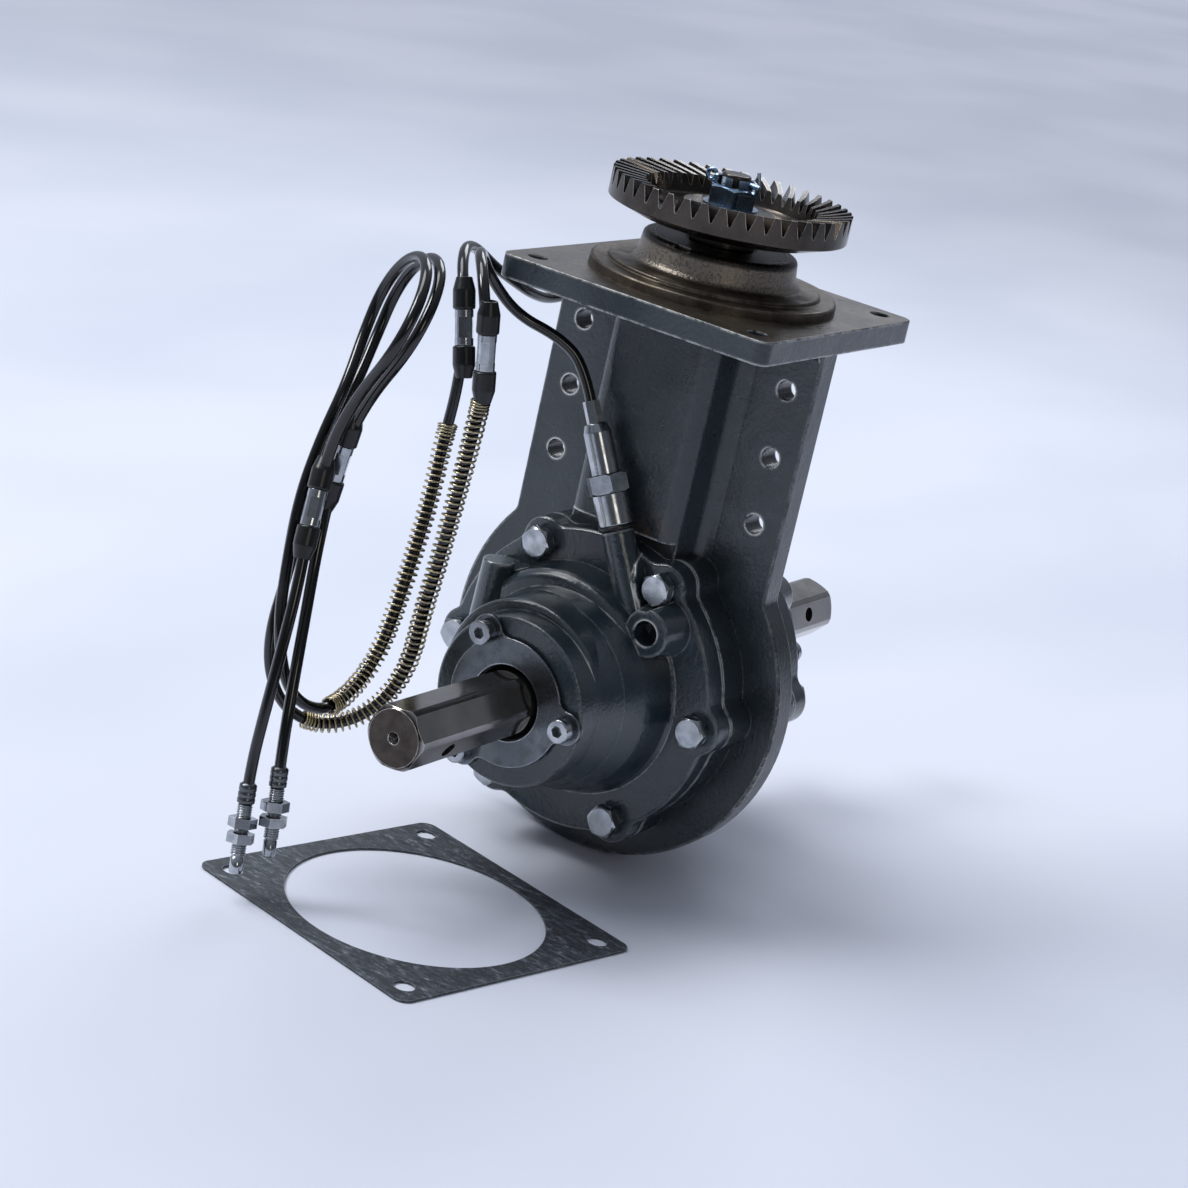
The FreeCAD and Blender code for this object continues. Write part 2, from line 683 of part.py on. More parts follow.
def shoulder(radius, shift, out, round_r):
    """Low round step of the casting, off the output axis towards the cable side."""
    away = V(-math.sqrt(0.5), 0, math.sqrt(0.5)) * shift
    profile = [(0, COVER_OUT - 2, 0), (radius + 2, COVER_OUT - 2, 0), (radius, out, round_r), (0, out, 0)]
    return turned(profile, MIDDLE + away, OUT)


def gusset():
    """Thin rib on the outer side of the leaning cable boss, down to the cover's flange."""
    places = [(BOSS_START, COVER_OUT - 1), (62, COVER_OUT - 1), (57, PLUNGER_OUT + 3),
              (47, PLUNGER_OUT + 8), (BOSS_START, PLUNGER_OUT + 8)]
    corners = [MIDDLE + LEAN_SIDE * (PLUNGER_OFFSET + BOSS_R - 2.3) + LEAN_ALONG * s + OUT * out
               for s, out in places]
    return Part.Face(Part.makePolygon(corners + [corners[0]])).extrude(LEAN_SIDE * 3)


def side_cover():
    outline = lobed_face(across(COVER_OUT), BOLT_ANGLES, BOLT_PCR, LOBE_R, WAIST_R, LOBE_FILLET_R)
    flange = outline.extrude(V(0, COVER_FLANGE_T, 0))
    flange = eased(flange, 2.0, lambda edge: lies_at(edge, OUT, COVER_OUT))
    dome = turned([(0, COVER_OUT - 2, 0), (DOME_FOOT_R + 5, COVER_OUT - 2, 0),
                   (DOME_FOOT_R, COVER_OUT + 1.5, 3),
                   (DOME_SHOULDER_R + 5, COVER_OUT + 20, 12), (DOME_SHOULDER_R, DOME_SHOULDER_OUT, 9),
                   (DOME_NOSE_R + 1.5, COVER_FACE - 16, 8), (DOME_NOSE_R, COVER_FACE, 2),
                   (0, COVER_FACE, 0)], MIDDLE, OUT)
    boss = eased(cylinder(BOSS_R, plunger_at(BOSS_START), LEAN_ALONG, BOSS_TOP - BOSS_START), 1.2,
                 lambda edge: edge.BoundBox.Center.z > plunger_at(BOSS_TOP - 5).z)
    stop_centre = MIDDLE + V(STOP_HOLE_X, 0, STOP_HOLE_UP)
    stop_boss = turned([(0, COVER_OUT - 2, 0), (STOP_BOSS_R + 3, COVER_OUT - 2, 0),
                        (STOP_BOSS_R, STOP_BOSS_OUT, 1.5), (0, STOP_BOSS_OUT, 0)], stop_centre, OUT)
    blind_top = MIDDLE + V(BLIND_BOSS_X, 0, BLIND_BOSS_UP) + OUT * (BLIND_BOSS_OUT - BLIND_BOSS_R)
    blind_boss = turned([(0, 0, 0), (BLIND_BOSS_R, 0, 1.5), (BLIND_BOSS_R + 1.5, 42, 0), (0, 42, 0)],
                        blind_top, V(0, 0, -1))
    blind_root = Part.makeBox(2 * BLIND_BOSS_R, BLIND_BOSS_OUT - BLIND_BOSS_R - COVER_OUT + 2, 30,
                              blind_top + V(-BLIND_BOSS_R, 0, -34))
    cover = together(flange, dome, shoulder(LEDGE_R, LEDGE_SHIFT, LEDGE_OUT, 3),
                     shoulder(BULGE_R, BULGE_SHIFT, BULGE_OUT, 6), boss, stop_boss, blind_boss, blind_root,
                     gusset())
    return cover.cut(cover_cutters())


def cover_cutters():
    bearing_r = OUTPUT_BEARING[1]
    pin_angle = 180 + CABLE_LEAN
    pin_a, pin_b = polar(FORK_PIN_RADIUS, pin_angle)
    stop_centre = MIDDLE + V(STOP_HOLE_X, 0, STOP_HOLE_UP)
    cutters = [cylinder(COVER_CAVITY_R, beyond(OUT, COVER_IN - 1), OUT, COVER_CAVITY_END - COVER_IN + 1),
               cylinder(bearing_r, beyond(OUT, COVER_CAVITY_END - 1), OUT,
                        BEARING_OUT_END - COVER_CAVITY_END + 1),
               cylinder(OUTPUT_SEAL_R, beyond(OUT, SEAL_OUT_START - 1), OUT, SEAL_W + 2),
               cylinder(PLUNGER_R + RUNNING, plunger_at(-PLUNGER_FOOT - 1), LEAN_ALONG,
                        BOSS_TOP + PLUNGER_FOOT + 2),
               cylinder(FORK_PIN_R, MIDDLE + V(pin_a, 0, pin_b) + OUT * (COVER_CAVITY_END - 1), OUT,
                        FORK_PIN_DEPTH + 1),
               cylinder(STOP_HOLE_R, stop_centre + OUT * STOP_HOLE_FLOOR, OUT,
                        STOP_BOSS_OUT - STOP_HOLE_FLOOR + 1)]
    for angle in BOLT_ANGLES:
        a, b = polar(BOLT_PCR, angle)
        foot = MIDDLE + V(a, 0, b)
        cutters.append(cylinder(BOLT_R + EASY, foot + OUT * (COVER_IN - 1), OUT, COVER_FLANGE_T + 2))
        cutters.append(cylinder(WASHER_R + 1.2, foot + OUT * COVER_OUT, OUT, 40))
    for angle in retainer_angles():
        a, b = polar(RETAINER_SCREW_R, angle)
        start = MIDDLE + V(a, 0, b) + OUT * (COVER_FACE + RETAINER_T - SCREW_LENGTH)
        cutters.append(cylinder(SCREW_R, start, OUT, SCREW_LENGTH))
    return cutters


def retainer_angles():
    return [360 / RETAINER_SCREWS * i for i in range(RETAINER_SCREWS)]


def seal_retainer():
    outline = lobed_face(across(COVER_FACE + RETAINER_T), retainer_angles(), RETAINER_SCREW_R,
                         RETAINER_LOBE_R,
                         RETAINER_WAIST_R, RETAINER_FILLET_R)
    plate = outline.extrude(V(0, RETAINER_T, 0))
    plate = eased(plate, 0.6, lambda edge: lies_at(edge, OUT, COVER_FACE + RETAINER_T))
    cutters = [cylinder(RETAINER_HOLE_R, beyond(OUT, COVER_FACE - 1), OUT, RETAINER_T + 2)]
    for angle in retainer_angles():
        a, b = polar(RETAINER_SCREW_R, angle)
        cutters.append(cylinder(SCREW_R, MIDDLE + V(a, 0, b) + OUT * (COVER_FACE - 1), OUT, RETAINER_T + 2))
    return plate.cut(cutters)


def cap_screw(seat, axis):
    """Socket head cap screw with its head on the seat point and its shank below."""
    head = turned([(0, 0, 0), (SCREW_HEAD_R, 0, 0), (SCREW_HEAD_R, SCREW_HEAD_H, 0.8), (0, SCREW_HEAD_H, 0)],
                  seat, axis)
    shank = cylinder(SCREW_R, seat - axis * SCREW_LENGTH, axis, SCREW_LENGTH + 1)
    key = prism(6, SCREW_KEY_AF, seat + axis * (SCREW_HEAD_H - 4), axis, 5)
    return head.fuse(shank).cut(key).removeSplitter()


def hex_head_bolt(seat, axis, turn):
    """Hexagon bolt with a chamfered head on the seat point and its shank below."""
    head = prism(6, BOLT_AF, seat, axis, BOLT_HEAD_H, turn)
    corner_r = BOLT_AF / math.sqrt(3)
    slope = [(0, 0, 0), (corner_r + 1, 0, 0), (corner_r + 1, BOLT_HEAD_H - 1.6, 0),
             (BOLT_AF / 2 * 0.93, BOLT_HEAD_H, 0), (0, BOLT_HEAD_H, 0)]
    plain_length = WASHER_T + COVER_FLANGE_T + GASKET_T
    plain = cylinder(BOLT_R, seat - axis * plain_length, axis, plain_length + 1)
    thread = cylinder(TAP_R, seat - axis * BOLT_LENGTH, axis, BOLT_LENGTH - plain_length + 1)
    return head.common(turned(slope, seat, axis)).fuse([plain, thread]).removeSplitter()


def cover_bolts():
    bolts = []
    for axis in (OUT, Y_AXIS):
        for i, angle in enumerate(BOLT_ANGLES):
            a, b = polar(BOLT_PCR, angle)
            bolts.append(hex_head_bolt(MIDDLE + V(a, 0, b) + axis * (COVER_OUT + WASHER_T), axis, 7 + 23 * i))
    return Part.makeCompound(bolts)


def spring_washers():
    """Split lock washers, each with its slanting slit."""
    washers = []
    for axis in (OUT, Y_AXIS):
        for i, angle in enumerate(BOLT_ANGLES):
            a, b = polar(BOLT_PCR, angle)
            foot = MIDDLE + V(a, 0, b) + axis * COVER_OUT
            washer = ring(WASHER_R, BOLT_R + 0.1, foot, axis, WASHER_T)
            slit = Part.makeBox(10, 1.0, 10, V(0, -0.5, -5))
            slit.rotate(ORIGIN, V(1, 0, 0), 30)
            slit.rotate(ORIGIN, V(0, 0, 1), 40 + 50 * i)
            slit.Placement = FreeCAD.Placement(foot + axis * (WASHER_T / 2),
                                               FreeCAD.Rotation(Z_AXIS, axis)).multiply(slit.Placement)
            washers.append(washer.cut(slit))
    return Part.makeCompound(washers)


def retainer_screws():
    screws = []
    for axis in (OUT, Y_AXIS):
        for angle in retainer_angles():
            a, b = polar(RETAINER_SCREW_R, angle)
            screws.append(cap_screw(MIDDLE + V(a, 0, b) + axis * (COVER_FACE + RETAINER_T), axis))
    return Part.makeCompound(screws)

# Input shaft and what turns with it


def input_shaft():
    lower_end = LOWER_BEARING_Z + LOWER_BEARING[2]
    pinion_top = LOWER_BEARING_Z
    seat_start = BEVEL_HUB_Z - 0.5
    profile = [(0, -184, 0), (PINION_SPLINE_R - SPLINE_DEPTH, -184, 1), (PINION_SPLINE_R - SPLINE_DEPTH, -150, 0),
               (PINION_SPLINE_R, -150, 0), (PINION_SPLINE_R, pinion_top, 0),
               (LOWER_BEARING[0], pinion_top, 0.6), (LOWER_BEARING[0], lower_end, 0),
               (INPUT_BODY_R + 2, lower_end, 0.8), (INPUT_BODY_R + 2, lower_end + 6, 0.8),
               (INPUT_BODY_R, lower_end + 8, 1), (INPUT_BODY_R, -12, 1), (UPPER_BEARING[0] + 4, -9, 0.5),
               (UPPER_BEARING[0] + 4, UPPER_BEARING_Z, 0.5), (UPPER_BEARING[0], UPPER_BEARING_Z, 0),
               (UPPER_BEARING[0], seat_start, 0.6), (INPUT_SPLINE_R - SPLINE_DEPTH, seat_start, 0),
               (INPUT_SPLINE_R - SPLINE_DEPTH, BEVEL_SEAT_Z, 0), (INPUT_THREAD_R, BEVEL_SEAT_Z, 0),
               (INPUT_THREAD_R, INPUT_TOP, 1.2), (0, INPUT_TOP, 0)]
    core = turned(profile, ORIGIN, Z_AXIS)
    low = splined(PINION_SPLINE_R - SPLINE_DEPTH, PINION_SPLINE_R, V(0, 0, -183), Z_AXIS, 34)
    high = splined(INPUT_SPLINE_R - SPLINE_DEPTH, INPUT_SPLINE_R, V(0, 0, seat_start), Z_AXIS,
                   BEVEL_SEAT_Z - seat_start)
    cotter_hole = cylinder(COTTER_R, V(-20, 0, INPUT_TOP - 4), V(1, 0, 0), 40)
    return together(core, low, high).cut(cotter_hole)


def scaled_gap(apex_dir, tip_dir, tangent, cone_out, lean, share):
    """Trapezoid across a straight bevel tooth space at a share of the cone's length."""
    half_pitch = math.pi * CROWN_MODULE * (1 - TOOTH_SHARE) / 2
    high = ADDENDUM * CROWN_MODULE + 1.5
    low = DEDENDUM * CROWN_MODULE
    centre = MIDDLE + apex_dir * (cone_out * share)
    corners = []
    for height, side in ((high, -1), (high, 1), (-low, 1), (-low, -1)):
        half = half_pitch + height * math.tan(lean)
        corners.append(centre + tip_dir * (height * share) + tangent * (side * half * share))
    return Part.makePolygon(corners + [corners[0]])


def bevel_gaps(axis, first, cone_angle, teeth, offset):
    """Cutters for the tooth spaces of one gear of the inner pair."""
    outward = first * math.sin(cone_angle) + axis * math.cos(cone_angle)
    tip = first * math.cos(cone_angle) - axis * math.sin(cone_angle)
    tangent = axis.cross(first)
    wires = [scaled_gap(outward, tip, tangent, CONE_OUT, math.radians(20), share) for share in (0.5, 1.2)]
    gap = Part.makeLoft(wires, True, True)
    return [turned_about(gap, MIDDLE, axis, 360 / teeth * (i + offset)) for i in range(teeth)]


def drive_pinion():
    cone_angle = math.atan2(PINION_TEETH, CROWN_TEETH)
    addendum = ADDENDUM * CROWN_MODULE
    tip_r = PITCH_PINION_R + addendum * math.cos(cone_angle)
    tip_up = PITCH_CROWN_R - addendum * math.sin(cone_angle)
    inner = CONE_IN / CONE_OUT
    bore = PINION_SPLINE_R - SPLINE_DEPTH
    hub_top = LOWER_BEARING_Z + AXIS_DROP
    profile = [(bore, tip_up * inner, 0), (tip_r * inner, tip_up * inner, 0.5), (tip_r, tip_up, 0.5),
               (tip_r - 2.2, tip_up + 5.5, 0.8), (PINION_HUB_R, tip_up + 6.5, 1), (PINION_HUB_R, hub_top, 0.8),
               (bore, hub_top, 0)]
    blank = turned(profile, MIDDLE, Z_AXIS)
    teeth = blank.cut(bevel_gaps(Z_AXIS, V(0, 1, 0), cone_angle, PINION_TEETH, 0.5))
    low = splined(bore, PINION_SPLINE_R, V(0, 0, -183), Z_AXIS, 33, RUNNING)
    relief = cylinder(PINION_SPLINE_R + RUNNING, V(0, 0, -150), Z_AXIS, 4)
    return teeth.cut([low, relief])


def tooth_notch(angle):
    """Cutter for one spiral tooth space of the input bevel gear."""
    wires = []
    for radius in (BEVEL_IN_R - 4, (BEVEL_IN_R + BEVEL_R) / 2, BEVEL_R + 3):
        share = radius / BEVEL_R
        turn = math.radians(angle) + math.log(radius / BEVEL_R) * math.tan(math.radians(BEVEL_SPIRAL + 12))
        outward = V(math.cos(turn), math.sin(turn), 0)
        tangent = Z_AXIS.cross(outward)
        top = BEVEL_TIP_Z - (BEVEL_R - radius) / (BEVEL_R - BEVEL_IN_R) * BEVEL_DISH
        pitch = 2 * math.pi * radius / BEVEL_TEETH
        base = outward * radius
        depth = BEVEL_DEPTH * share ** 1.3
        corners = []
        for side, wide, height in ((-1, 0.50, 1.5), (1, 0.50, 1.5), (1, 0.08, -depth), (-1, 0.08, -depth)):
            extra = 0.045 if height > 0 else 0
            corners.append(base + tangent * (side * pitch * (wide * 0.68 + extra)) + Z_AXIS * (top + height))
        wires.append(Part.makePolygon(corners + [corners[0]]))
    return Part.makeLoft(wires, True, False)


def input_bevel_gear():
    bore = INPUT_SPLINE_R - SPLINE_DEPTH
    inner_z = BEVEL_TIP_Z - BEVEL_DISH
    profile = [(bore, BEVEL_HUB_Z, 0), (BEVEL_HUB_R, BEVEL_HUB_Z, 1), (BEVEL_HUB_R + 1, 33, 1.5), (50, 33, 3),
               (BEVEL_R, BEVEL_RIM_Z, 0.8), (BEVEL_R, BEVEL_TIP_Z, 0.4), (BEVEL_IN_R, inner_z, 0.4),
               (BEVEL_IN_R - 2.5, BEVEL_WEB_Z, 2), (BEVEL_HUB_R + 0.5, BEVEL_WEB_Z, 2),
               (BEVEL_HUB_R - 0.5, BEVEL_SEAT_Z, 1), (bore, BEVEL_SEAT_Z, 0)]
    blank = turned(profile, ORIGIN, Z_AXIS)
    notches = [tooth_notch(360 / BEVEL_TEETH * i) for i in range(BEVEL_TEETH)]
    spline = splined(bore, INPUT_SPLINE_R, V(0, 0, BEVEL_HUB_Z - 1), Z_AXIS,
                     BEVEL_SEAT_Z - BEVEL_HUB_Z + 2, RUNNING)
    return blank.cut(notches).cut(spline)


def lock_tab():
    """Tab washer under the nut, one tongue bent down and one up against a flat."""
    base = BEVEL_SEAT_Z
    washer = ring(NUT_AF / 2 + 3, INPUT_THREAD_R + 0.2, V(0, 0, base), Z_AXIS, TAB_T)
    up = Part.makeBox(9, TAB_T, 9, V(-4.5, -NUT_AF / 2 - TAB_T - 0.1, base))
    foot = Part.makeBox(9, 4, TAB_T, V(-4.5, -NUT_AF / 2 - 4, base))
    tab = together(washer, foot, up)
    return turned_about(tab, ORIGIN, Z_AXIS, 60)


def input_nut():
    """Slotted shaft nut with its split cotter through the slots."""
    base = BEVEL_SEAT_Z + TAB_T
    body = prism(6, NUT_AF, V(0, 0, base), Z_AXIS, NUT_H)
    slope = [(0, 0, 0), (NUT_AF, 0, 0), (NUT_AF, NUT_H - 7, 0), (NUT_AF / 2 * 0.95, NUT_H, 0), (0, NUT_H, 0)]
    body = body.common(turned(slope, V(0, 0, base), Z_AXIS))
    crown = ring(NUT_AF / 2 - 2, INPUT_THREAD_R, V(0, 0, base + NUT_H - 0.5), Z_AXIS, 5.5)
    nut = body.cut(cylinder(INPUT_THREAD_R, V(0, 0, base - 1), Z_AXIS, NUT_H + 10)).fuse(crown)
    slots = []
    for i in range(3):
        slot = Part.makeBox(60, 3.6, 8, V(-30, -1.8, base + NUT_H + 0.3))
        slots.append(turned_about(slot, ORIGIN, Z_AXIS, 60 * i))
    pin = cylinder(COTTER_R - 0.1, V(-NUT_AF / 2 - 1, 0, INPUT_TOP - 4), V(1, 0, 0), NUT_AF + 4)
    eye = Part.makeTorus(2.6, COTTER_R - 0.3, V(-NUT_AF / 2 - 3, 0, INPUT_TOP - 4), V(0, 1, 0))
    leg_up = cylinder(1.0, V(NUT_AF / 2 + 2.2, 0.6, INPUT_TOP - 4), V(-0.25, 0, 1), 8)
    leg_down = cylinder(1.0, V(NUT_AF / 2 + 2.2, -0.6, INPUT_TOP - 4), V(-0.1, 0, -1), 7)
    return Part.makeCompound([nut.cut(slots), pin.fuse([eye, leg_up, leg_down])])


# Crown gear, dog clutches and output shafts


def dog_ring(start, axis, phase):
    """Ring of clutch dogs; phase is 0 for the driving half and 0.5 for the half that meshes with it."""
    step = 360 / DOG_COUNT
    span = step / 2 - DOG_PLAY_DEG
    crown = ring(HUB_R, DOG_IN_R, start, axis, DOG_H + 0.5)
    dogs = []
    side = side_of(axis)
    other = axis.cross(side)
    for i in range(DOG_COUNT):
        middle = step * (i + phase)
        corners = [start - axis]
        for angle in (middle - span / 2, middle, middle + span / 2):
            a, b = polar(HUB_R * 1.4, angle)
            corners.append(start - axis + side * a + other * b)
        wedge = Part.Face(Part.makePolygon(corners + [corners[0]])).extrude(axis * (DOG_H + 2))
        dogs.append(wedge.common(crown))
    return dogs


def crown_gear():
    cone_angle = math.atan2(CROWN_TEETH, PINION_TEETH)
    addendum = ADDENDUM * CROWN_MODULE
    tip_r = PITCH_CROWN_R + addendum * math.cos(cone_angle)
    tip_y = PITCH_PINION_R - addendum * math.sin(cone_angle)
    inner = CONE_IN / CONE_OUT
    back = CROWN_BACK - 12
    profile = [(PILOT_R + RUNNING, -HUB_HALF, 0.6), (HUB_R, -HUB_HALF, 0.4), (HUB_R, back, 2),
               (tip_r * inner - 2, back, 1), (tip_r * inner, tip_y * inner, 0.5), (tip_r, tip_y, 0.5),
               (tip_r - 2.2, CROWN_BACK - 5.5, 0.8), (tip_r - 3.5, CROWN_BACK, 1), (HUB_R, CROWN_BACK, 0.2),
               (HUB_R, HUB_HALF, 0.2), (PILOT_R + RUNNING, HUB_HALF, 0.6)]
    blank = turned(profile, MIDDLE, Y_AXIS)
    teeth = blank.cut(bevel_gaps(Y_AXIS, V(0, 0, 1), cone_angle, CROWN_TEETH, 0))
    dogs = dog_ring(beyond(Y_AXIS, HUB_HALF - 0.5), Y_AXIS, 0) + dog_ring(beyond(OUT, HUB_HALF - 0.5), OUT, 0)
    return teeth.fuse(dogs).removeSplitter()


def output_shaft(hex_turn):
    """Front output shaft: pilot in the crown gear, spline, journal and hexagon end."""
    pilot = cylinder(PILOT_R, beyond(OUT, SHAFT_GAP / 2), OUT, HUB_HALF)
    spline = splined(SHAFT_R - 2.7, SPLINE_OUT_R, beyond(OUT, HUB_HALF), OUT, BEARING_OUT_START - HUB_HALF)
    hex_start = COVER_FACE + RETAINER_T + 1
    journal = turned([(0, BEARING_OUT_START, 0), (SHAFT_R, BEARING_OUT_START, 0.6), (SHAFT_R, hex_start, 0),
                      (0, hex_start, 0)], MIDDLE, OUT)
    hexagon = prism(6, HEX_AF, beyond(OUT, hex_start), OUT, HEX_END - hex_start, hex_turn)
    flat_r = HEX_AF / 2
    envelope = turned([(0, hex_start, 0), (SHAFT_R, hex_start, 0), (SHAFT_R, HEX_END - HEX_CHAMFER, 0),
                       (flat_r - 0.8, HEX_END, 0), (0, HEX_END, 0)], MIDDLE, OUT)
    drill = turned([(0, HEX_END + 1, 0), (CENTRE_DRILL_R, HEX_END + 1, 0), (CENTRE_DRILL_R, HEX_END, 0),
                    (0, HEX_END - CENTRE_DRILL_DEPTH, 0)], MIDDLE, OUT)
    hole_axis = V(*hole_direction(hex_turn))
    hole_start = beyond(OUT, HEX_END - PIN_HOLE_FROM_END) - hole_axis * 30
    hole = cylinder(PIN_HOLE_D / 2, hole_start, hole_axis, 60)
    return together(pilot, spline, journal, hexagon.common(envelope)).cut([drill, hole])


def hole_direction(hex_turn):
    """Direction of the cross hole, square to the flat just below the first hexagon corner."""
    a, b = polar(1, hex_turn - 30)
    return a, 0, b


def bearing_start():
    return beyond(OUT, BEARING_OUT_START)


def dog_sleeve():
    """Sliding clutch sleeve: dogs, spline bore and the fork's groove."""
    groove_start = FORK_START - 0.1
    groove_end = FORK_START + FORK_T + 0.1
    bore = SHAFT_R - 2.7
    body = turned([(bore, SLEEVE_START, 0), (HUB_R, SLEEVE_START, 0.6), (HUB_R, groove_start, 0.8),
                   (GROOVE_R, groove_start, 0), (GROOVE_R, groove_end, 0), (HUB_R, groove_end, 0.8),
                   (HUB_R, SLEEVE_END, 1), (bore, SLEEVE_END, 0)], MIDDLE, OUT)
    dogs = dog_ring(beyond(OUT, SLEEVE_START - DOG_H), OUT, 0.5)
    cutter = splined(bore, SPLINE_OUT_R, beyond(OUT, SLEEVE_START - DOG_H - 2), OUT,
                     SLEEVE_END - SLEEVE_START + DOG_H + 4, RUNNING)
    return body.fuse(dogs).removeSplitter().cut(cutter)


def clutch_spring():
    """Compression spring between the sleeve and the bearing's inner ring."""
    length = BEARING_OUT_START - SLEEVE_END
    coil_r = SHAFT_R + 1.0 + SPRING_WIRE_R
    pitch = (length - 2 * SPRING_WIRE_R) / SPRING_TURNS
    steps = round(16 * SPRING_TURNS)
    line = Part.BSplineCurve()
    line.interpolate([V(*polar(coil_r, 360 * SPRING_TURNS * i / steps), pitch * SPRING_TURNS * i / steps)
                      for i in range(steps + 1)])
    section = Part.Wire(Part.makeCircle(SPRING_WIRE_R, V(coil_r, 0, 0), line.tangent(line.FirstParameter)[0]))
    spring = Part.Wire(line.toShape()).makePipeShell([section], True, True)
    spring.Placement = FreeCAD.Placement(beyond(OUT, SLEEVE_END + SPRING_WIRE_R),
                                         FreeCAD.Rotation(Z_AXIS, OUT))
    return spring


# Shift forks, their pins and the plungers


def shift_fork():
    start = beyond(OUT, FORK_START)
    plate = ring(FORK_RING_R, GROOVE_R + EASY, start, OUT, FORK_T)
    arm = Part.makeBox(FORK_ARM_END - FORK_RING_R + 4, FORK_T, FORK_ARM_W,
                       V(FORK_RING_R - 4, -FORK_START - FORK_T, -AXIS_DROP - FORK_ARM_W / 2))
    web = Part.makeBox(FORK_PIN_RADIUS - FORK_RING_R + 5, FORK_T, 11,
                       V(-FORK_PIN_RADIUS, -FORK_START - FORK_T, -AXIS_DROP - 5.5))
    bush_start = V(-FORK_PIN_RADIUS, -FORK_START + 5, -AXIS_DROP)
    bush = cylinder(FORK_BUSH_R, bush_start, OUT, FORK_BUSH_W)
    mouth = Part.makeBox(60, FORK_T + 2, 34, V(0, -FORK_START - FORK_T - 1, -AXIS_DROP - 17))
    mouth = turned_about(mouth, MIDDLE, OUT, -95)
    bore = cylinder(FORK_PIN_R + RUNNING, bush_start - OUT, OUT, FORK_BUSH_W + 2)
    fork = together(plate, arm, web, bush).cut([bore, mouth])
    return turned_about(fork, MIDDLE, OUT, CABLE_LEAN)


def fork_pin(axis):
    a, b = polar(FORK_PIN_RADIUS, 180 + CABLE_LEAN)
    start = MIDDLE + V(a, 0, b) + axis * FORK_PIN_INNER
    return turned([(0, 0, 0), (FORK_PIN_R, 0, 0.6),
                   (FORK_PIN_R, COVER_CAVITY_END + FORK_PIN_DEPTH - FORK_PIN_INNER, 0),
                   (0, COVER_CAVITY_END + FORK_PIN_DEPTH - FORK_PIN_INNER, 0)], start, axis)


def clutch_plunger():
    """Plunger with the ramped notch that lifts the fork, and its pull wire."""
    rod = turned([(0, -PLUNGER_FOOT, 0), (PLUNGER_R, -PLUNGER_FOOT, 1), (PLUNGER_R, PLUNGER_TOP, 1),
                  (0, PLUNGER_TOP, 0)], PLUNGER_BASE, LEAN_ALONG)
    wire = cylinder(WIRE_R, plunger_at(PLUNGER_TOP - 1), LEAN_ALONG, WIRE_TOP - PLUNGER_TOP + 1)
    half = FORK_ARM_W / 2 + 0.05
    deep = PLUNGER_R - NOTCH_DEPTH
    rise = CLUTCH_TRAVEL / PLUNGER_TRAVEL
    low_s = -half - PLUNGER_TRAVEL
    places = [(half + 0.45, PLUNGER_R + 2), (half + 0.45, deep), (-half, deep),
              (low_s, deep + rise * PLUNGER_TRAVEL), (low_s - 4, PLUNGER_R + 2)]
    corners = [PLUNGER_BASE - LEAN_SIDE * 10 + LEAN_ALONG * s + OUT * out for s, out in places]
    notch = Part.Face(Part.makePolygon(corners + [corners[0]])).extrude(LEAN_SIDE * 20)
    return rod.fuse(wire).cut(notch)


# Cable fitting on each cover


def cable_socket():
    foot, top = BOSS_TOP, COLLAR_START
    seat = foot + 2 * ORING_R
    body = turned([(0, foot, 0), (ORING_SEAT_R, foot, 0.3), (ORING_SEAT_R, seat, 0), (SOCKET_R, seat, 0.8),
                   (SOCKET_R, top, 0.8), (0, top, 0)], PLUNGER_BASE, LEAN_ALONG)
    cavity = cylinder(PLUNGER_R + EASY, plunger_at(foot - 1), LEAN_ALONG, SOCKET_H - 2)
    wire_hole = cylinder(WIRE_R + EASY, plunger_at(foot), LEAN_ALONG, SOCKET_H + 2)
    side_cut = Part.makeBox(4, 30, SOCKET_H - 8, V(-SOCKET_R - 2.8, -15, foot + 9))
    side_cut.Placement = FreeCAD.Placement(PLUNGER_BASE, FreeCAD.Rotation(Y_AXIS, -CABLE_LEAN)).multiply(
        side_cut.Placement)
    return body.cut([cavity, wire_hole, side_cut])


def cable_collar():
    nut = prism(6, COLLAR_AF, plunger_at(COLLAR_START), LEAN_ALONG, COLLAR_H, 12)
    edge = COLLAR_AF / math.sqrt(3)
    slope = turned([(0, 0, 0), (edge - 1.2, 0, 0), (edge + 0.2, 1.2, 0), (edge + 0.2, COLLAR_H - 1.2, 0),
                    (edge - 1.2, COLLAR_H, 0), (0, COLLAR_H, 0)], plunger_at(COLLAR_START), LEAN_ALONG)
    bore = cylinder(WIRE_R + EASY, plunger_at(COLLAR_START - 1), LEAN_ALONG, COLLAR_H + 2)
    return nut.common(slope).cut(bore)


def cable_sleeve():
    length = CABLE_SLEEVE_H
    body = turned([(0, 0, 0), (CABLE_SLEEVE_R, 0, 0.6), (CABLE_SLEEVE_R, length - 5, 1.5),
                   (CABLE_SLEEVE_R - 1.6, length, 1), (0, length, 0)],
                  plunger_at(CABLE_SLEEVE_START), LEAN_ALONG)
    ferrule = prism(6, FERRULE_AF, plunger_at(FERRULE_START - 0.5), LEAN_ALONG, FERRULE_H + 0.5, 20)
    bore = cylinder(WIRE_R + EASY, plunger_at(CABLE_SLEEVE_START - 1), LEAN_ALONG, length + FERRULE_H + 2)
    return together(body, ferrule).cut(bore)


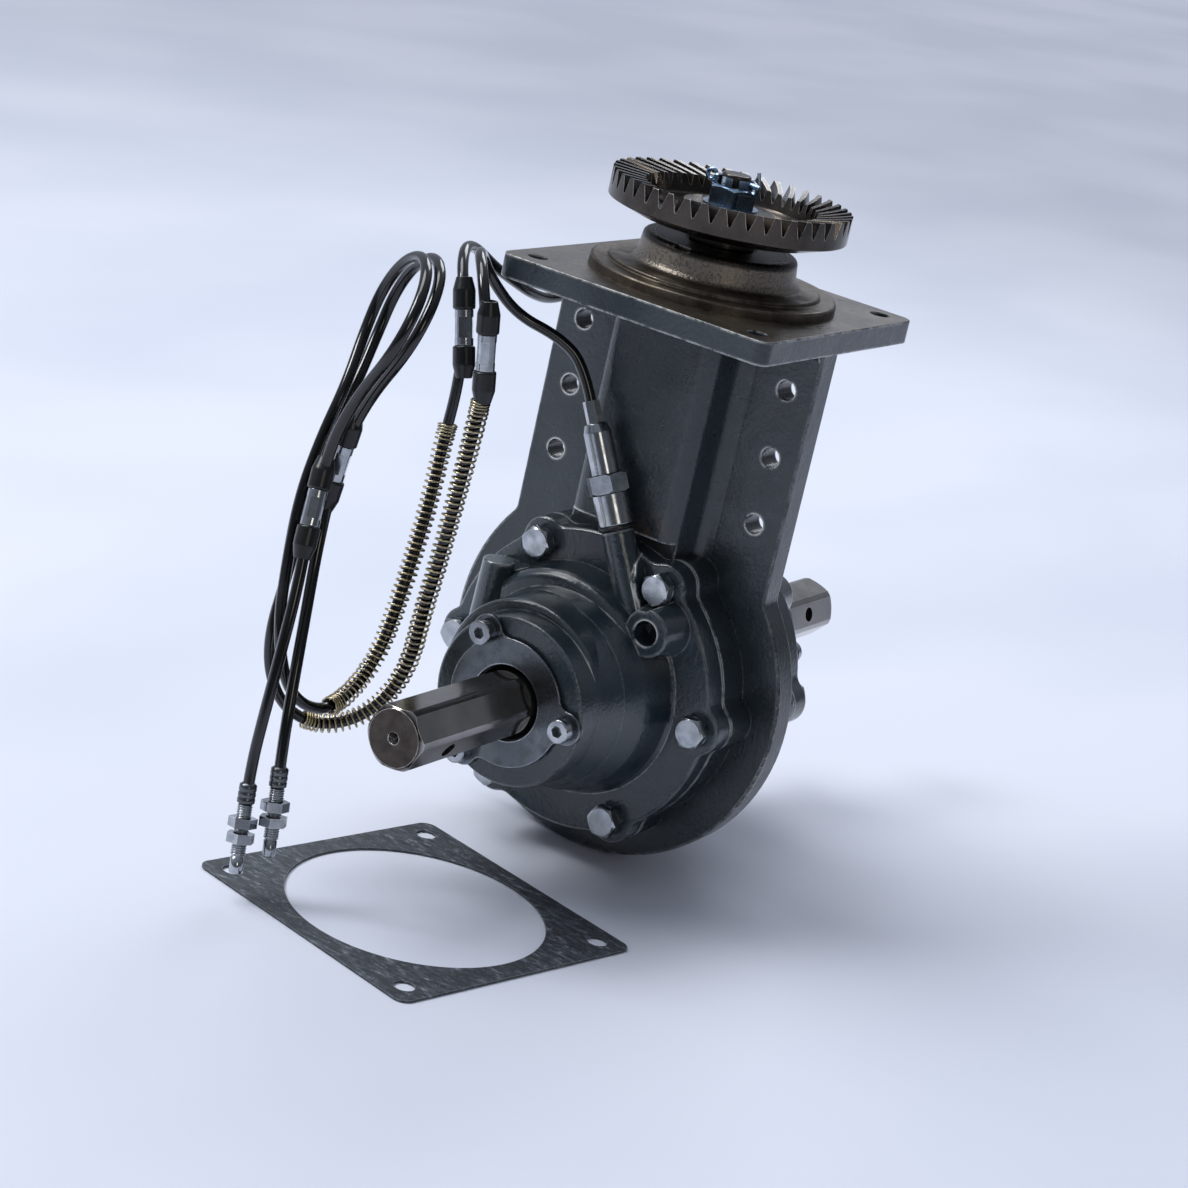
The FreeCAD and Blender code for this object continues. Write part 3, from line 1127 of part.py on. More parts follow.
def socket_orings():
    """Rubber ring squeezed under each socket's shoulder."""
    profile = [(ORING_SEAT_R, 0, 0), (SOCKET_R + 0.3, 0, 0.9), (SOCKET_R + 0.3, 2 * ORING_R, 0.9),
               (ORING_SEAT_R, 2 * ORING_R, 0)]
    front = turned(profile, plunger_at(BOSS_TOP), LEAN_ALONG)
    return Part.makeCompound([front, rear(front)])

# Cables and what is on them


def route_path(points):
    """Straight runs joined by tangent arcs, each as large as its two runs allow; returns wire and radii."""
    edges = []
    radii = []
    leaving = points[0]
    for before, corner, after in zip(points, points[1:], points[2:]):
        back = before - corner
        ahead = after - corner
        cut = 0.45 * min(back.Length, ahead.Length)
        back.normalize()
        ahead.normalize()
        half_turn = (math.pi - back.getAngle(ahead)) / 2
        radius = cut / math.tan(half_turn)
        inward = back + ahead
        inward.normalize()
        start = corner + back * cut
        end = corner + ahead * cut
        middle = corner + inward * (radius / math.cos(half_turn) - radius)
        edges.append(Part.LineSegment(leaving, start).toShape())
        edges.append(Part.Arc(start, middle, end).toShape())
        radii.append(radius)
        leaving = end
    edges.append(Part.LineSegment(leaving, points[-1]).toShape())
    return Part.Wire(edges), radii


def swept(points, radius, name):
    """Round tube along a route, with its radii and volume printed for checking."""
    path, radii = route_path(points)
    axis = points[1] - points[0]
    section = Part.Wire(Part.makeCircle(radius, points[0], axis))
    solid = path.makePipeShell([section], True, False)
    expected = math.pi * radius ** 2 * path.Length
    print(name, 'length', round(path.Length), 'smallest radius', round(min(radii), 1),
          'volume share', round(solid.Volume / expected, 4))
    return solid


def on_run(points, run, share):
    """Place at a share of a run of the route, and the direction from there."""
    along = points[run] - points[run - 1]
    place = points[run - 1] + along * share
    along.normalize()
    return place, along


def cable_adjuster(points, run, share):
    """In-line adjuster: a body with flats between two short collars."""
    middle, along = on_run(points, run, share)
    start = middle - along * (ADJUSTER_H / 2)
    body = turned([(SHEATH_R, 0, 0), (ADJUSTER_R, 0, 0.5), (ADJUSTER_R, ADJUSTER_H, 0.5),
                   (SHEATH_R, ADJUSTER_H, 0)], start, along)
    sides = prism(4, ADJUSTER_FLAT, start + along * 4, along, ADJUSTER_H - 8, 20)
    collars = together(cylinder(ADJUSTER_R, start, along, 4.01),
                       cylinder(ADJUSTER_R, start + along * (ADJUSTER_H - 4.01), along, 4.01))
    return body.common(together(sides, collars))


def cable_boots(points, run, share):
    """Tapered rubber boots, one at each end of the adjuster, in a list."""
    middle, along = on_run(points, run, share)
    boots = []
    for axis in (along, along * -1):
        start = middle + axis * (ADJUSTER_H / 2)
        boots.append(turned([(SHEATH_R, 0, 0), (BOOT_R, 0, 1.2), (BOOT_R, BOOT_H * 0.6, 3),
                             (BOOT_TIP_R, BOOT_H, 0.6), (SHEATH_R, BOOT_H, 0)], start, axis))
    return boots


def coil_guard(points, first, last, share, name):
    """Outer shape of the open coil that guards the cable."""
    stretch = points[first:last + 1]
    stretch[0] = stretch[0] + (stretch[1] - stretch[0]) * share
    return swept(stretch, GUARD_R, name).cut(swept(stretch, GUARD_BORE_R, name + ' bore'))


def cable_barrel(points):
    """Threaded end barrel with the short tube on its end."""
    start = points[-1]
    along = points[-1] - points[-2]
    along.normalize()
    tube = BARREL_H - 9
    return turned([(0, 0, 0), (BARREL_R, 0, 0.6), (BARREL_R, tube, 0.6), (BARREL_TUBE_R, tube + 0.5, 0),
                   (BARREL_TUBE_R, BARREL_H, 0.4), (0, BARREL_H, 0)], start, along)


def barrel_nuts():
    """Two lock nuts on each end barrel."""
    nuts = []
    for points in (FRONT_ROUTE, REAR_ROUTE):
        along = points[-1] - points[-2]
        along.normalize()
        for i, s in enumerate((7, 15)):
            start = points[-1] + along * s
            nut = prism(6, BARREL_NUT_AF, start, along, BARREL_NUT_H, 25 + 40 * i)
            nuts.append(nut.cut(cylinder(BARREL_R, start - along, along, BARREL_NUT_H + 2)))
    return Part.makeCompound(nuts)


def flange_gasket():
    """Loose gasket that lies on the floor beside the gearbox."""
    half = LOOSE_SIDE / 2
    corners = [(-half, -half, FLANGE_CORNER_R), (half, -half, FLANGE_CORNER_R),
               (half, half, FLANGE_CORNER_R), (-half, half, FLANGE_CORNER_R)]
    sheet = rounded_face(corners, level(FLOOR_Z)).extrude(V(0, 0, LOOSE_T))
    cutters = [cylinder(LOOSE_BORE_R, V(0, 0, FLOOR_Z - 1), Z_AXIS, LOOSE_T + 2)]
    for x in (-FLANGE_PITCH / 2, FLANGE_PITCH / 2):
        for y in (-FLANGE_PITCH / 2, FLANGE_PITCH / 2):
            cutters.append(cylinder(LOOSE_HOLE_D / 2, V(x, y, FLOOR_Z - 1), Z_AXIS, LOOSE_T + 2))
    gasket = sheet.cut(cutters)
    gasket.rotate(V(0, 0, FLOOR_Z), Z_AXIS, LOOSE_TURN_DEG)
    gasket.translate(V(LOOSE_X, LOOSE_Y, 0))
    return gasket


# All pieces


def paired_pieces():
    """Pieces of the front clutch side, each made once and mirrored for the rear."""
    return {
        'cover': side_cover(),
        'cover_gasket': cover_gasket(),
        'bearing_outer': outer_race(OUTPUT_BEARING, bearing_start(), OUT),
        'bearing_inner': inner_race(OUTPUT_BEARING, bearing_start(), OUT),
        'oil_seal': oil_seal(OUTPUT_SEAL_R, SHAFT_R, beyond(OUT, SEAL_OUT_START), OUT),
        'seal_retainer': seal_retainer(),
        'dog_sleeve': dog_sleeve(),
        'clutch_spring': clutch_spring(),
        'shift_fork': shift_fork(),
        'clutch_plunger': clutch_plunger(),
        'cable_socket': cable_socket(),
        'cable_collar': cable_collar(),
        'cable_sleeve': cable_sleeve(),
    }


def cable_pieces(side, points, runs):
    upper, lower, guard = runs
    return {
        side + '_cable': swept(points, SHEATH_R, side + '_cable'),
        side + '_cable_adjusters': Part.makeCompound([cable_adjuster(points, *place)
                                                      for place in (upper, lower)]),
        side + '_cable_boots': Part.makeCompound(cable_boots(points, *upper) + cable_boots(points, *lower)),
        side + '_coil_guard': coil_guard(points, *guard, side + '_coil_guard'),
        side + '_cable_barrel': cable_barrel(points),
    }


def all_pieces():
    pieces = {
        'main_case': main_case(),
        'bearing_housing': bearing_housing(),
        'input_oil_seal': oil_seal(UPPER_BEARING[1], UPPER_BEARING[0], V(0, 0, NECK_TOP - SEAL_W), Z_AXIS),
        'upper_bearing_outer': outer_race(UPPER_BEARING, V(0, 0, UPPER_BEARING_Z), Z_AXIS),
        'upper_bearing_inner': inner_race(UPPER_BEARING, V(0, 0, UPPER_BEARING_Z), Z_AXIS),
        'lower_bearing_outer': outer_race(LOWER_BEARING, V(0, 0, LOWER_BEARING_Z), Z_AXIS),
        'lower_bearing_inner': inner_race(LOWER_BEARING, V(0, 0, LOWER_BEARING_Z), Z_AXIS),
        'input_shaft': input_shaft(),
        'drive_pinion': drive_pinion(),
        'input_bevel_gear': input_bevel_gear(),
        'lock_tab': lock_tab(),
        'input_nut': input_nut(),
        'crown_gear': crown_gear(),
        'front_output_shaft': output_shaft(FRONT_HEX_TURN),
        'rear_output_shaft': rear(output_shaft(REAR_HEX_TURN)),
        'cover_bolts': cover_bolts(),
        'spring_washers': spring_washers(),
        'retainer_screws': retainer_screws(),
        'fork_pins': Part.makeCompound([fork_pin(OUT), fork_pin(Y_AXIS)]),
        'socket_orings': socket_orings(),
        'barrel_nuts': barrel_nuts(),
        'flange_gasket': flange_gasket(),
    }
    for name, shape in paired_pieces().items():
        pieces['front_' + name] = shape
        pieces['rear_' + name] = rear(shape)
    pieces.update(cable_pieces('front', FRONT_ROUTE, FRONT_ON_RUNS))
    pieces.update(cable_pieces('rear', REAR_ROUTE, REAR_ON_RUNS))
    return pieces


def main():
    os.makedirs("parts", exist_ok=True)
    for name, shape in all_pieces().items():
        solids = len(shape.Solids)
        print(name, 'solids', solids, 'volume', round(shape.Volume), 'valid', shape.isValid())
        shape.exportStep("parts/" + name + ".step")


main()
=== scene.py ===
"""Looks of the tiller gearbox: materials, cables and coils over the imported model, cloth, light, camera."""

import json
import logging
import math
from dataclasses import dataclass
from enum import Enum

import bpy
import numpy as np
from mathutils import Matrix, Vector


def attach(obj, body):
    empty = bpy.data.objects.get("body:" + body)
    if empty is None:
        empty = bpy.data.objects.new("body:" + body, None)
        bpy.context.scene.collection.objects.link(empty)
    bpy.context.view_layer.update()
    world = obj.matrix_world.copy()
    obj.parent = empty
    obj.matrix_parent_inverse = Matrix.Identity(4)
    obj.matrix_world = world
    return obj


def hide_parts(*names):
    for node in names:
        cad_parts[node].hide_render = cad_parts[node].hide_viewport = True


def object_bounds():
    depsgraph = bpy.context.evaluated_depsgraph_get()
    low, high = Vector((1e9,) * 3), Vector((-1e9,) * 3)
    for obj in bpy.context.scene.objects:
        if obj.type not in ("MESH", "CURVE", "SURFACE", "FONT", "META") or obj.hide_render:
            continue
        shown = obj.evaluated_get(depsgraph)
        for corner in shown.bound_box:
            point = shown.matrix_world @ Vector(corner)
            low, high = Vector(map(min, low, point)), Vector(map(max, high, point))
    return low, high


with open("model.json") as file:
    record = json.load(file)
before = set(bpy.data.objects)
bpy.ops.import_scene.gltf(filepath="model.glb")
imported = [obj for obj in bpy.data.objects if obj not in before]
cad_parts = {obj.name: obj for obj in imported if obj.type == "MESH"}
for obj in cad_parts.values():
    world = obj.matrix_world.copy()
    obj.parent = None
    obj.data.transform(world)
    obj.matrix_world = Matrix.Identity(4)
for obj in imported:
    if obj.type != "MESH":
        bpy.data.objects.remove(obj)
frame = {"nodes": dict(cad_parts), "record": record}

LOG = logging.getLogger("tiller_gearbox")
MM = 0.001
PHOTO_PX = 1188
CAD_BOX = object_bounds()
Triple = tuple[float, float, float]
Socket = bpy.types.NodeSocket

# Routes of the two cables, the same points as in the CAD source, in metres
FRONT_ROUTE = [(x * MM, y * MM, z * MM) for x, y, z in (
    (-26.5, -54, -68), (-36, -54, -50), (-50, -61, -39), (-71, -74, -32), (-83, -88, -14),
    (-81, -103, 0), (-71, -121, 5), (-57, -136, -2), (-46, -143, -19), (-42, -142, -36),
    (-39, -141, -59), (-42, -138, -87), (-44, -138, -119), (-44, -142, -153), (-46, -144, -182),
    (-50, -140, -215), (-58, -149, -239), (-70, -164, -251), (-83, -181, -250), (-94, -194, -236),
    (-101, -199, -208), (-103, -188, -169), (-108, -180, -136), (-107, -171, -104),
    (-104, -160, -74), (-110, -141, -50), (-108, -135, -26), (-96, -138, -7), (-78, -149, 2),
    (-62, -165, -3), (-55, -179, -18), (-58, -188, -40), (-77, -183, -68), (-86, -184, -94),
    (-88, -187, -121), (-85, -193, -152), (-76, -205, -182), (-67, -217, -211),
    (-60, -226, -241), (-56, -229, -267))]
REAR_ROUTE = [(x * MM, y * MM, z * MM) for x, y, z in (
    (-26.5, 54, -68), (-36, 54, -50), (-52, 56, -35), (-73, 57, -30), (-93, 50, -33),
    (-105, 33, -38), (-106, 12, -40), (-105, -8, -35), (-107, -24, -28), (-109, -44, -19),
    (-112, -61, -8), (-107, -80, -4), (-96, -97, -10), (-84, -107, -24), (-78, -109, -43),
    (-74, -111, -69), (-74, -114, -99), (-71, -120, -131), (-69, -128, -160),
    (-67, -137, -187), (-69, -142, -214), (-69, -158, -231), (-69, -179, -239),
    (-71, -200, -233), (-75, -214, -218), (-83, -217, -190), (-97, -200, -163),
    (-102, -193, -130), (-102, -184, -99), (-100, -174, -71), (-108, -156, -48),
    (-107, -149, -24), (-95, -152, -5), (-77, -163, 4), (-61, -179, 0), (-53, -194, -15),
    (-56, -203, -38), (-74, -198, -65), (-84, -198, -90), (-86, -200, -114), (-82, -208, -138),
    (-75, -218, -167), (-71, -227, -198), (-69, -234, -231), (-68, -238, -258),
    (-65, -241, -277))]


def linear(code: str) -> tuple[float, float, float, float]:
    """Turn an sRGB hex code into linear colour.

    Args:
        code: Six hex digits, with or without a leading hash.

    Returns:
        Linear red, green, blue and an alpha of one.
    """
    digits = code.lstrip("#")
    channels = [int(digits[i:i + 2], 16) / 255 for i in (0, 2, 4)]
    return tuple(c / 12.92 if c <= 0.04045 else ((c + 0.055) / 1.055) ** 2.4 for c in channels) + (1.0,)


class Graph:
    """Builds one material's nodes, with sizes given in millimetres."""

    def __init__(self, name: str) -> None:
        """Start a material with an empty principled surface.

        Args:
            name: The material's name.
        """
        self.material = bpy.data.materials.new(name)
        self.material.use_nodes = True
        self.tree = self.material.node_tree
        self.tree.nodes.clear()
        self.surface = self.add("ShaderNodeBsdfPrincipled")
        output = self.add("ShaderNodeOutputMaterial")
        self.tree.links.new(self.surface.outputs["BSDF"], output.inputs["Surface"])
        self.place = self.add("ShaderNodeTexCoord").outputs["Object"]
        self.geometry = self.add("ShaderNodeNewGeometry")

    def add(self, kind: str, **settings) -> bpy.types.Node:
        """Add a node.

        Args:
            kind: The node's type name.
            settings: Values of the node's own settings.

        Returns:
            The new node.
        """
        node = self.tree.nodes.new(kind)
        for key, value in settings.items():
            setattr(node, key, value)
        return node

    def feed(self, socket: Socket, value) -> None:
        """Link a socket into another or set it to a constant.

        Args:
            socket: The input socket.
            value: An output socket or a constant.
        """
        if isinstance(value, Socket):
            self.tree.links.new(value, socket)
        elif value is not None:
            socket.default_value = value

    def calc(self, operation: str, first, second=None, clamp: bool = False) -> Socket:
        """Do one sum.

        Args:
            operation: Name of the math operation.
            first: First value or socket.
            second: Second value or socket.
            clamp: Whether the result is kept between 0 and 1.

        Returns:
            The result's socket.
        """
        node = self.add("ShaderNodeMath", operation=operation, use_clamp=clamp)
        self.feed(node.inputs[0], first)
        self.feed(node.inputs[1], second)
        return node.outputs[0]

    def spread(self, value, low: float, high: float, start: float = 0.0, end: float = 1.0) -> Socket:
        """Stretch a range onto another, kept inside it.

        Args:
            value: The socket to stretch.
            low: Value that becomes start.
            high: Value that becomes end.
            start: Result at low.
            end: Result at high.

        Returns:
            The stretched value's socket.
        """
        node = self.add("ShaderNodeMapRange", clamp=True)
        for socket, item in zip(node.inputs, (value, low, high, start, end)):
            self.feed(socket, item)
        return node.outputs[0]

    def noise(self, size_mm: float, detail: float = 3.0, rough: float = 0.55,
              stretch: Triple = (1.0, 1.0, 1.0), shift: float = 0.0) -> Socket:
        """Clouds of about one size.

        Args:
            size_mm: Distance between clouds.
            detail: Number of finer layers.
            rough: Strength of the finer layers.
            stretch: Share of the scale on each axis, small where the clouds are long.
            shift: Moves the pattern, so that two of them differ.

        Returns:
            The pattern's value, around one half.
        """
        moved = self.add("ShaderNodeMapping")
        self.feed(moved.inputs["Vector"], self.place)
        moved.inputs["Location"].default_value = (shift, shift * 0.7, shift * 1.3)
        moved.inputs["Scale"].default_value = stretch
        node = self.add("ShaderNodeTexNoise")
        self.feed(node.inputs["Vector"], moved.outputs[0])
        node.inputs["Scale"].default_value = 1 / (size_mm * MM)
        node.inputs["Detail"].default_value = detail
        node.inputs["Roughness"].default_value = rough
        return node.outputs[0]

    def axis(self, which: str) -> Socket:
        """One coordinate of the surface point.

        Args:
            which: X, Y or Z.

        Returns:
            The coordinate in metres.
        """
        node = self.add("ShaderNodeSeparateXYZ")
        self.feed(node.inputs[0], self.place)
        return node.outputs[which]

    def facing(self, which: str) -> Socket:
        """How far the surface faces along an axis.

        Args:
            which: X, Y or Z.

        Returns:
            The normal's coordinate, from -1 to 1.
        """
        node = self.add("ShaderNodeSeparateXYZ")
        self.feed(node.inputs[0], self.geometry.outputs["Normal"])
        return node.outputs[which]

    def near(self, centre_mm: Triple, size_mm: float, soft_mm: float) -> Socket:
        """A soft ball of influence round a place.

        Args:
            centre_mm: The ball's centre.
            size_mm: Radius where it is full.
            soft_mm: Width over which it fades.

        Returns:
            1 inside and 0 outside.
        """
        node = self.add("ShaderNodeVectorMath", operation="DISTANCE")
        self.feed(node.inputs[0], self.place)
        node.inputs[1].default_value = [c * MM for c in centre_mm]
        return self.spread(node.outputs["Value"], size_mm * MM, (size_mm + soft_mm) * MM, 1, 0)

    def mix(self, factor, first, second) -> Socket:
        """Blend two colours.

        Args:
            factor: Share of the second colour.
            first: Hex code or socket.
            second: Hex code or socket.

        Returns:
            The blended colour's socket.
        """
        node = self.add("ShaderNodeMix", data_type="RGBA")
        self.feed(node.inputs["Factor"], factor)
        for socket, value in ((node.inputs[6], first), (node.inputs[7], second)):
            self.feed(socket, linear(value) if isinstance(value, str) else value)
        return node.outputs[2]

    def lerp(self, factor, first, second) -> Socket:
        """Blend two numbers.

        Args:
            factor: Share of the second number.
            first: Number or socket.
            second: Number or socket.

        Returns:
            The blended number's socket.
        """
        node = self.add("ShaderNodeMix", data_type="FLOAT")
        self.feed(node.inputs["Factor"], factor)
        self.feed(node.inputs[2], first)
        self.feed(node.inputs[3], second)
        return node.outputs[0]

    def bump(self, height, depth_mm: float, under=None) -> Socket:
        """Raise the surface by a pattern.

        Args:
            height: Pattern from 0 to 1.
            depth_mm: Height of a full step.
            under: Normal that this one is laid over.

        Returns:
            The new normal's socket.
        """
        node = self.add("ShaderNodeBump")
        node.inputs["Distance"].default_value = depth_mm * MM
        self.feed(node.inputs["Height"], height)
        self.feed(node.inputs["Normal"], under)
        return node.outputs["Normal"]

    def worn_edges(self, radius_mm: float, low: float, high: float) -> Socket:
        """Where an outer edge is, read from a rounded normal and the open air round it.

        Args:
            radius_mm: Width of the band beside the edge.
            low: Turn of the normal that counts as nothing.
            high: Turn of the normal that counts as an edge.

        Returns:
            1 on sharp outer edges and 0 elsewhere.
        """
        rounded = self.add("ShaderNodeBevel", samples=4)
        rounded.inputs["Radius"].default_value = radius_mm * MM
        dot = self.add("ShaderNodeVectorMath", operation="DOT_PRODUCT")
        self.feed(dot.inputs[0], rounded.outputs[0])
        self.feed(dot.inputs[1], self.geometry.outputs["Normal"])
        turn = self.spread(self.calc("SUBTRACT", 1.0, dot.outputs["Value"]), low, high)
        return self.calc("MULTIPLY", turn, self.spread(self.openness(3 * radius_mm), 0.55, 0.85))

    def openness(self, reach_mm: float, inside: bool = False) -> Socket:
        """Share of open air round the surface, or of solid metal behind it.

        Args:
            reach_mm: How far other surfaces count.
            inside: Whether to look into the solid, where an outer edge has little metal behind it.

        Returns:
            1 in the open or in thick metal, and less in corners or behind an edge.
        """
        node = self.add("ShaderNodeAmbientOcclusion", samples=6, inside=inside)
        node.inputs["Distance"].default_value = reach_mm * MM
        return node.outputs["AO"]

    def finish(self, **values) -> bpy.types.Material:
        """Set the surface's inputs.

        Args:
            values: Input names with underscores for spaces, and what each gets.

        Returns:
            The finished material.
        """
        for key, value in values.items():
            self.feed(self.surface.inputs[key.replace("_", " ")], value)
        return self.material


class Slot(Enum):
    """The record's material slots."""

    CASE_PAINT = "case_paint"
    BARE_IRON = "bare_iron"
    SEAL_BLACK = "seal_black"
    BEARING_STEEL = "bearing_steel"
    OILED_STEEL = "oiled_steel"
    SHAFT_STEEL = "shaft_steel"
    BLUE_ZINC = "blue_zinc"
    ZINC = "zinc"
    BLACK_OXIDE = "black_oxide"
    GROUND_STEEL = "ground_steel"
    SPRING_STEEL = "spring_steel"
    RUBBER = "rubber"
    SHEATH = "sheath"
    GASKET_PAPER = "gasket_paper"


@dataclass(frozen=True)
class EnamelOnCasting:
    """Slate enamel sprayed over a sand casting, rubbed through to bright iron on its edges, with a painted
    highlight: the worn edges are painted near-white, brighter than bare iron.

    Attributes:
        dark: Hex code of the paint in its darker patches.
        light: Hex code of the paint in its lighter patches.
        gloss_low: Roughness where the paint is smoothest.
        gloss_high: Roughness where it is dull.
        wear: How much of the edges is rubbed bare and painted near-white as a highlight, 0 to 1.
        coat: Weight of the gloss on top of the paint.
        machined_top: Whether the face at the frame's origin height is bare metal.
        stained: Whether the tunnel's foot carries the rust stain.
    """

    dark: str
    light: str
    gloss_low: float
    gloss_high: float
    wear: float
    coat: float = 0.45
    machined_top: bool = False
    stained: bool = False

    STAIN_MM = (20, -42, -128)

    def build(self, name: str) -> bpy.types.Material:
        """Make the material.

        Args:
            name: The material's name.

        Returns:
            The finished material.
        """
        g = Graph(name)
        patches = g.noise(38, 4, 0.6)
        color = g.mix(g.spread(patches, 0.35, 0.65), self.dark, self.light)
        specks = g.spread(g.noise(1.6, 4, 0.7, shift=3), 0.60, 0.74)
        dust = g.calc("MULTIPLY", specks, g.spread(patches, 0.45, 0.7))
        color = g.mix(g.calc("MULTIPLY", dust, 0.12), color, "#8b9094")
        # Sand grain under the paint, orange peel in it, and the slow waves of the casting
        grain = g.bump(g.noise(2.2, 3, 0.5), 0.20)
        grain = g.bump(g.noise(0.9, 3, 0.6, shift=5), 0.085, grain)
        grain = g.bump(g.noise(22, 2, 0.4, shift=7), 0.5, grain)
        corners = g.spread(g.openness(2.3, inside=True), 0.6, 0.75, 1, 0)
        edges = g.calc("MAXIMUM", g.worn_edges(1.2, 0.012, 0.09), corners)
        rubbed = g.spread(g.noise(9, 5, 0.7, shift=9), 0.62 - 0.26 * self.wear, 0.68 - 0.16 * self.wear)
        bare_and_highlight = g.calc("MULTIPLY", edges, rubbed, clamp=True)
        scratch = g.spread(g.noise(5, 5, 0.8, (1.0, 0.25, 2.4), 13), 0.70, 0.73)
        bare_and_highlight = g.calc("MAXIMUM", bare_and_highlight, g.calc("MULTIPLY", scratch, 0.35 * self.wear))
        rough = g.lerp(g.spread(g.noise(9, 3, 0.6, shift=2), 0.3, 0.7), self.gloss_low, self.gloss_high)
        if self.stained:
            # Oil mixed with rust ran down from the flange to the tunnel's foot
            streaks = g.spread(g.noise(5, 4, 0.7, shift=4), 0.42, 0.6)
            stain = g.calc("MULTIPLY", g.near(self.STAIN_MM, 4, 12), streaks)
            color = g.mix(g.calc("MULTIPLY", stain, 0.6), color, "#5c4a3c")
        # Painted highlight over real wear: the rubbed edges and scratches are painted near-white, as bright
        # lines along the ridges
        color = g.mix(bare_and_highlight, color, "#e4e5e1")
        metal = g.calc("MULTIPLY", bare_and_highlight, 0.4)
        rough = g.lerp(bare_and_highlight, rough, 0.36)
        if self.machined_top:
            level = g.spread(g.axis("Z"), -0.6 * MM, -0.2 * MM)
            top = g.calc("MULTIPLY", level, g.spread(g.facing("Z"), 0.7, 0.9))
            cloud = g.mix(g.spread(g.noise(26, 5, 0.65, shift=6), 0.35, 0.66), "#3b3834", "#5d564c")
            cloud = g.mix(g.spread(g.noise(6, 4, 0.7, shift=8), 0.52, 0.7), cloud, "#4a3b2e")
            color = g.mix(top, color, cloud)
            metal = g.lerp(top, metal, 0.65)
            rough = g.lerp(top, rough, g.spread(g.noise(12, 3, 0.6, shift=1), 0.3, 0.7, 0.26, 0.5))
        gloss = g.calc("MULTIPLY", g.calc("SUBTRACT", 1.0, bare_and_highlight), self.coat)
        return g.finish(Base_Color=color, Metallic=metal, Roughness=rough, Normal=grain,
                        Coat_Normal=grain, Coat_Weight=gloss, Coat_Roughness=0.15)


@dataclass(frozen=True)
class BareCastIron:
    """Grey iron, as cast on the neck and turned on the flange, browned by oil and handling.

    Attributes:
        cast: Hex code of the grainy neck.
        turned: Hex code of the turned steps.
        stain: Hex code of the oil stain.
        step_z: Height in millimetres below which the turned steps lie.
    """

    cast: str
    turned: str
    stain: str
    step_z: float

    RIM_Z = 21.0
    RING_MM = 1.4

    def build(self, name: str) -> bpy.types.Material:
        """Make the material.

        Args:
            name: The material's name.

        Returns:
            The finished material.
        """
        g = Graph(name)
        low = g.spread(g.axis("Z"), self.step_z * MM, (self.step_z + 1.5) * MM, 1, 0)
        rim = g.spread(g.axis("Z"), (self.RIM_Z - 1.5) * MM, self.RIM_Z * MM)
        grain = g.noise(1.5, 3, 0.6)
        cast = g.mix(g.spread(grain, 0.30, 0.62), "#665f56", self.cast)
        cloud = g.spread(g.noise(17, 5, 0.65, shift=3), 0.36, 0.64)
        turned = g.mix(cloud, self.turned, self.stain)
        turned = g.mix(g.spread(g.noise(6, 4, 0.6, shift=6), 0.56, 0.72, 0, 0.6), turned, "#2c251f")
        color = g.mix(low, cast, turned)
        color = g.mix(g.calc("MULTIPLY", rim, 0.9), color, "#1b1918")
        # Painted highlight over real wear: the outer edges and the flange's step edges are painted pale, as
        # a bright line along them
        thin = g.spread(g.openness(1.5, inside=True), 0.6, 0.75, 0.8, 0)
        corners = g.calc("MAXIMUM", g.worn_edges(0.9, 0.03, 0.16), thin)
        edges = g.calc("MULTIPLY", corners, g.spread(g.noise(6, 4, 0.7, shift=9), 0.42, 0.56))
        color = g.mix(edges, color, "#d8cfc1")
        # The neck keeps its sand grain; the steps carry fine turning rings
        rough_cast = g.bump(g.calc("MULTIPLY", grain, g.calc("SUBTRACT", 1.0, low)), 0.38)
        rings = g.add("ShaderNodeTexWave", wave_type="RINGS", rings_direction="Z")
        g.feed(rings.inputs["Vector"], g.place)
        # The node itself multiplies the distance by 20
        rings.inputs["Scale"].default_value = 1 / (self.RING_MM * MM) / 20
        rings.inputs["Distortion"].default_value = 0.6
        normal = g.bump(g.calc("MULTIPLY", rings.outputs["Fac"], low), 0.03, rough_cast)
        rough = g.lerp(low, g.spread(grain, 0.35, 0.65, 0.24, 0.4), g.spread(cloud, 0, 1, 0.28, 0.5))
        return g.finish(Base_Color=color, Metallic=0.82, Roughness=rough, Normal=normal)


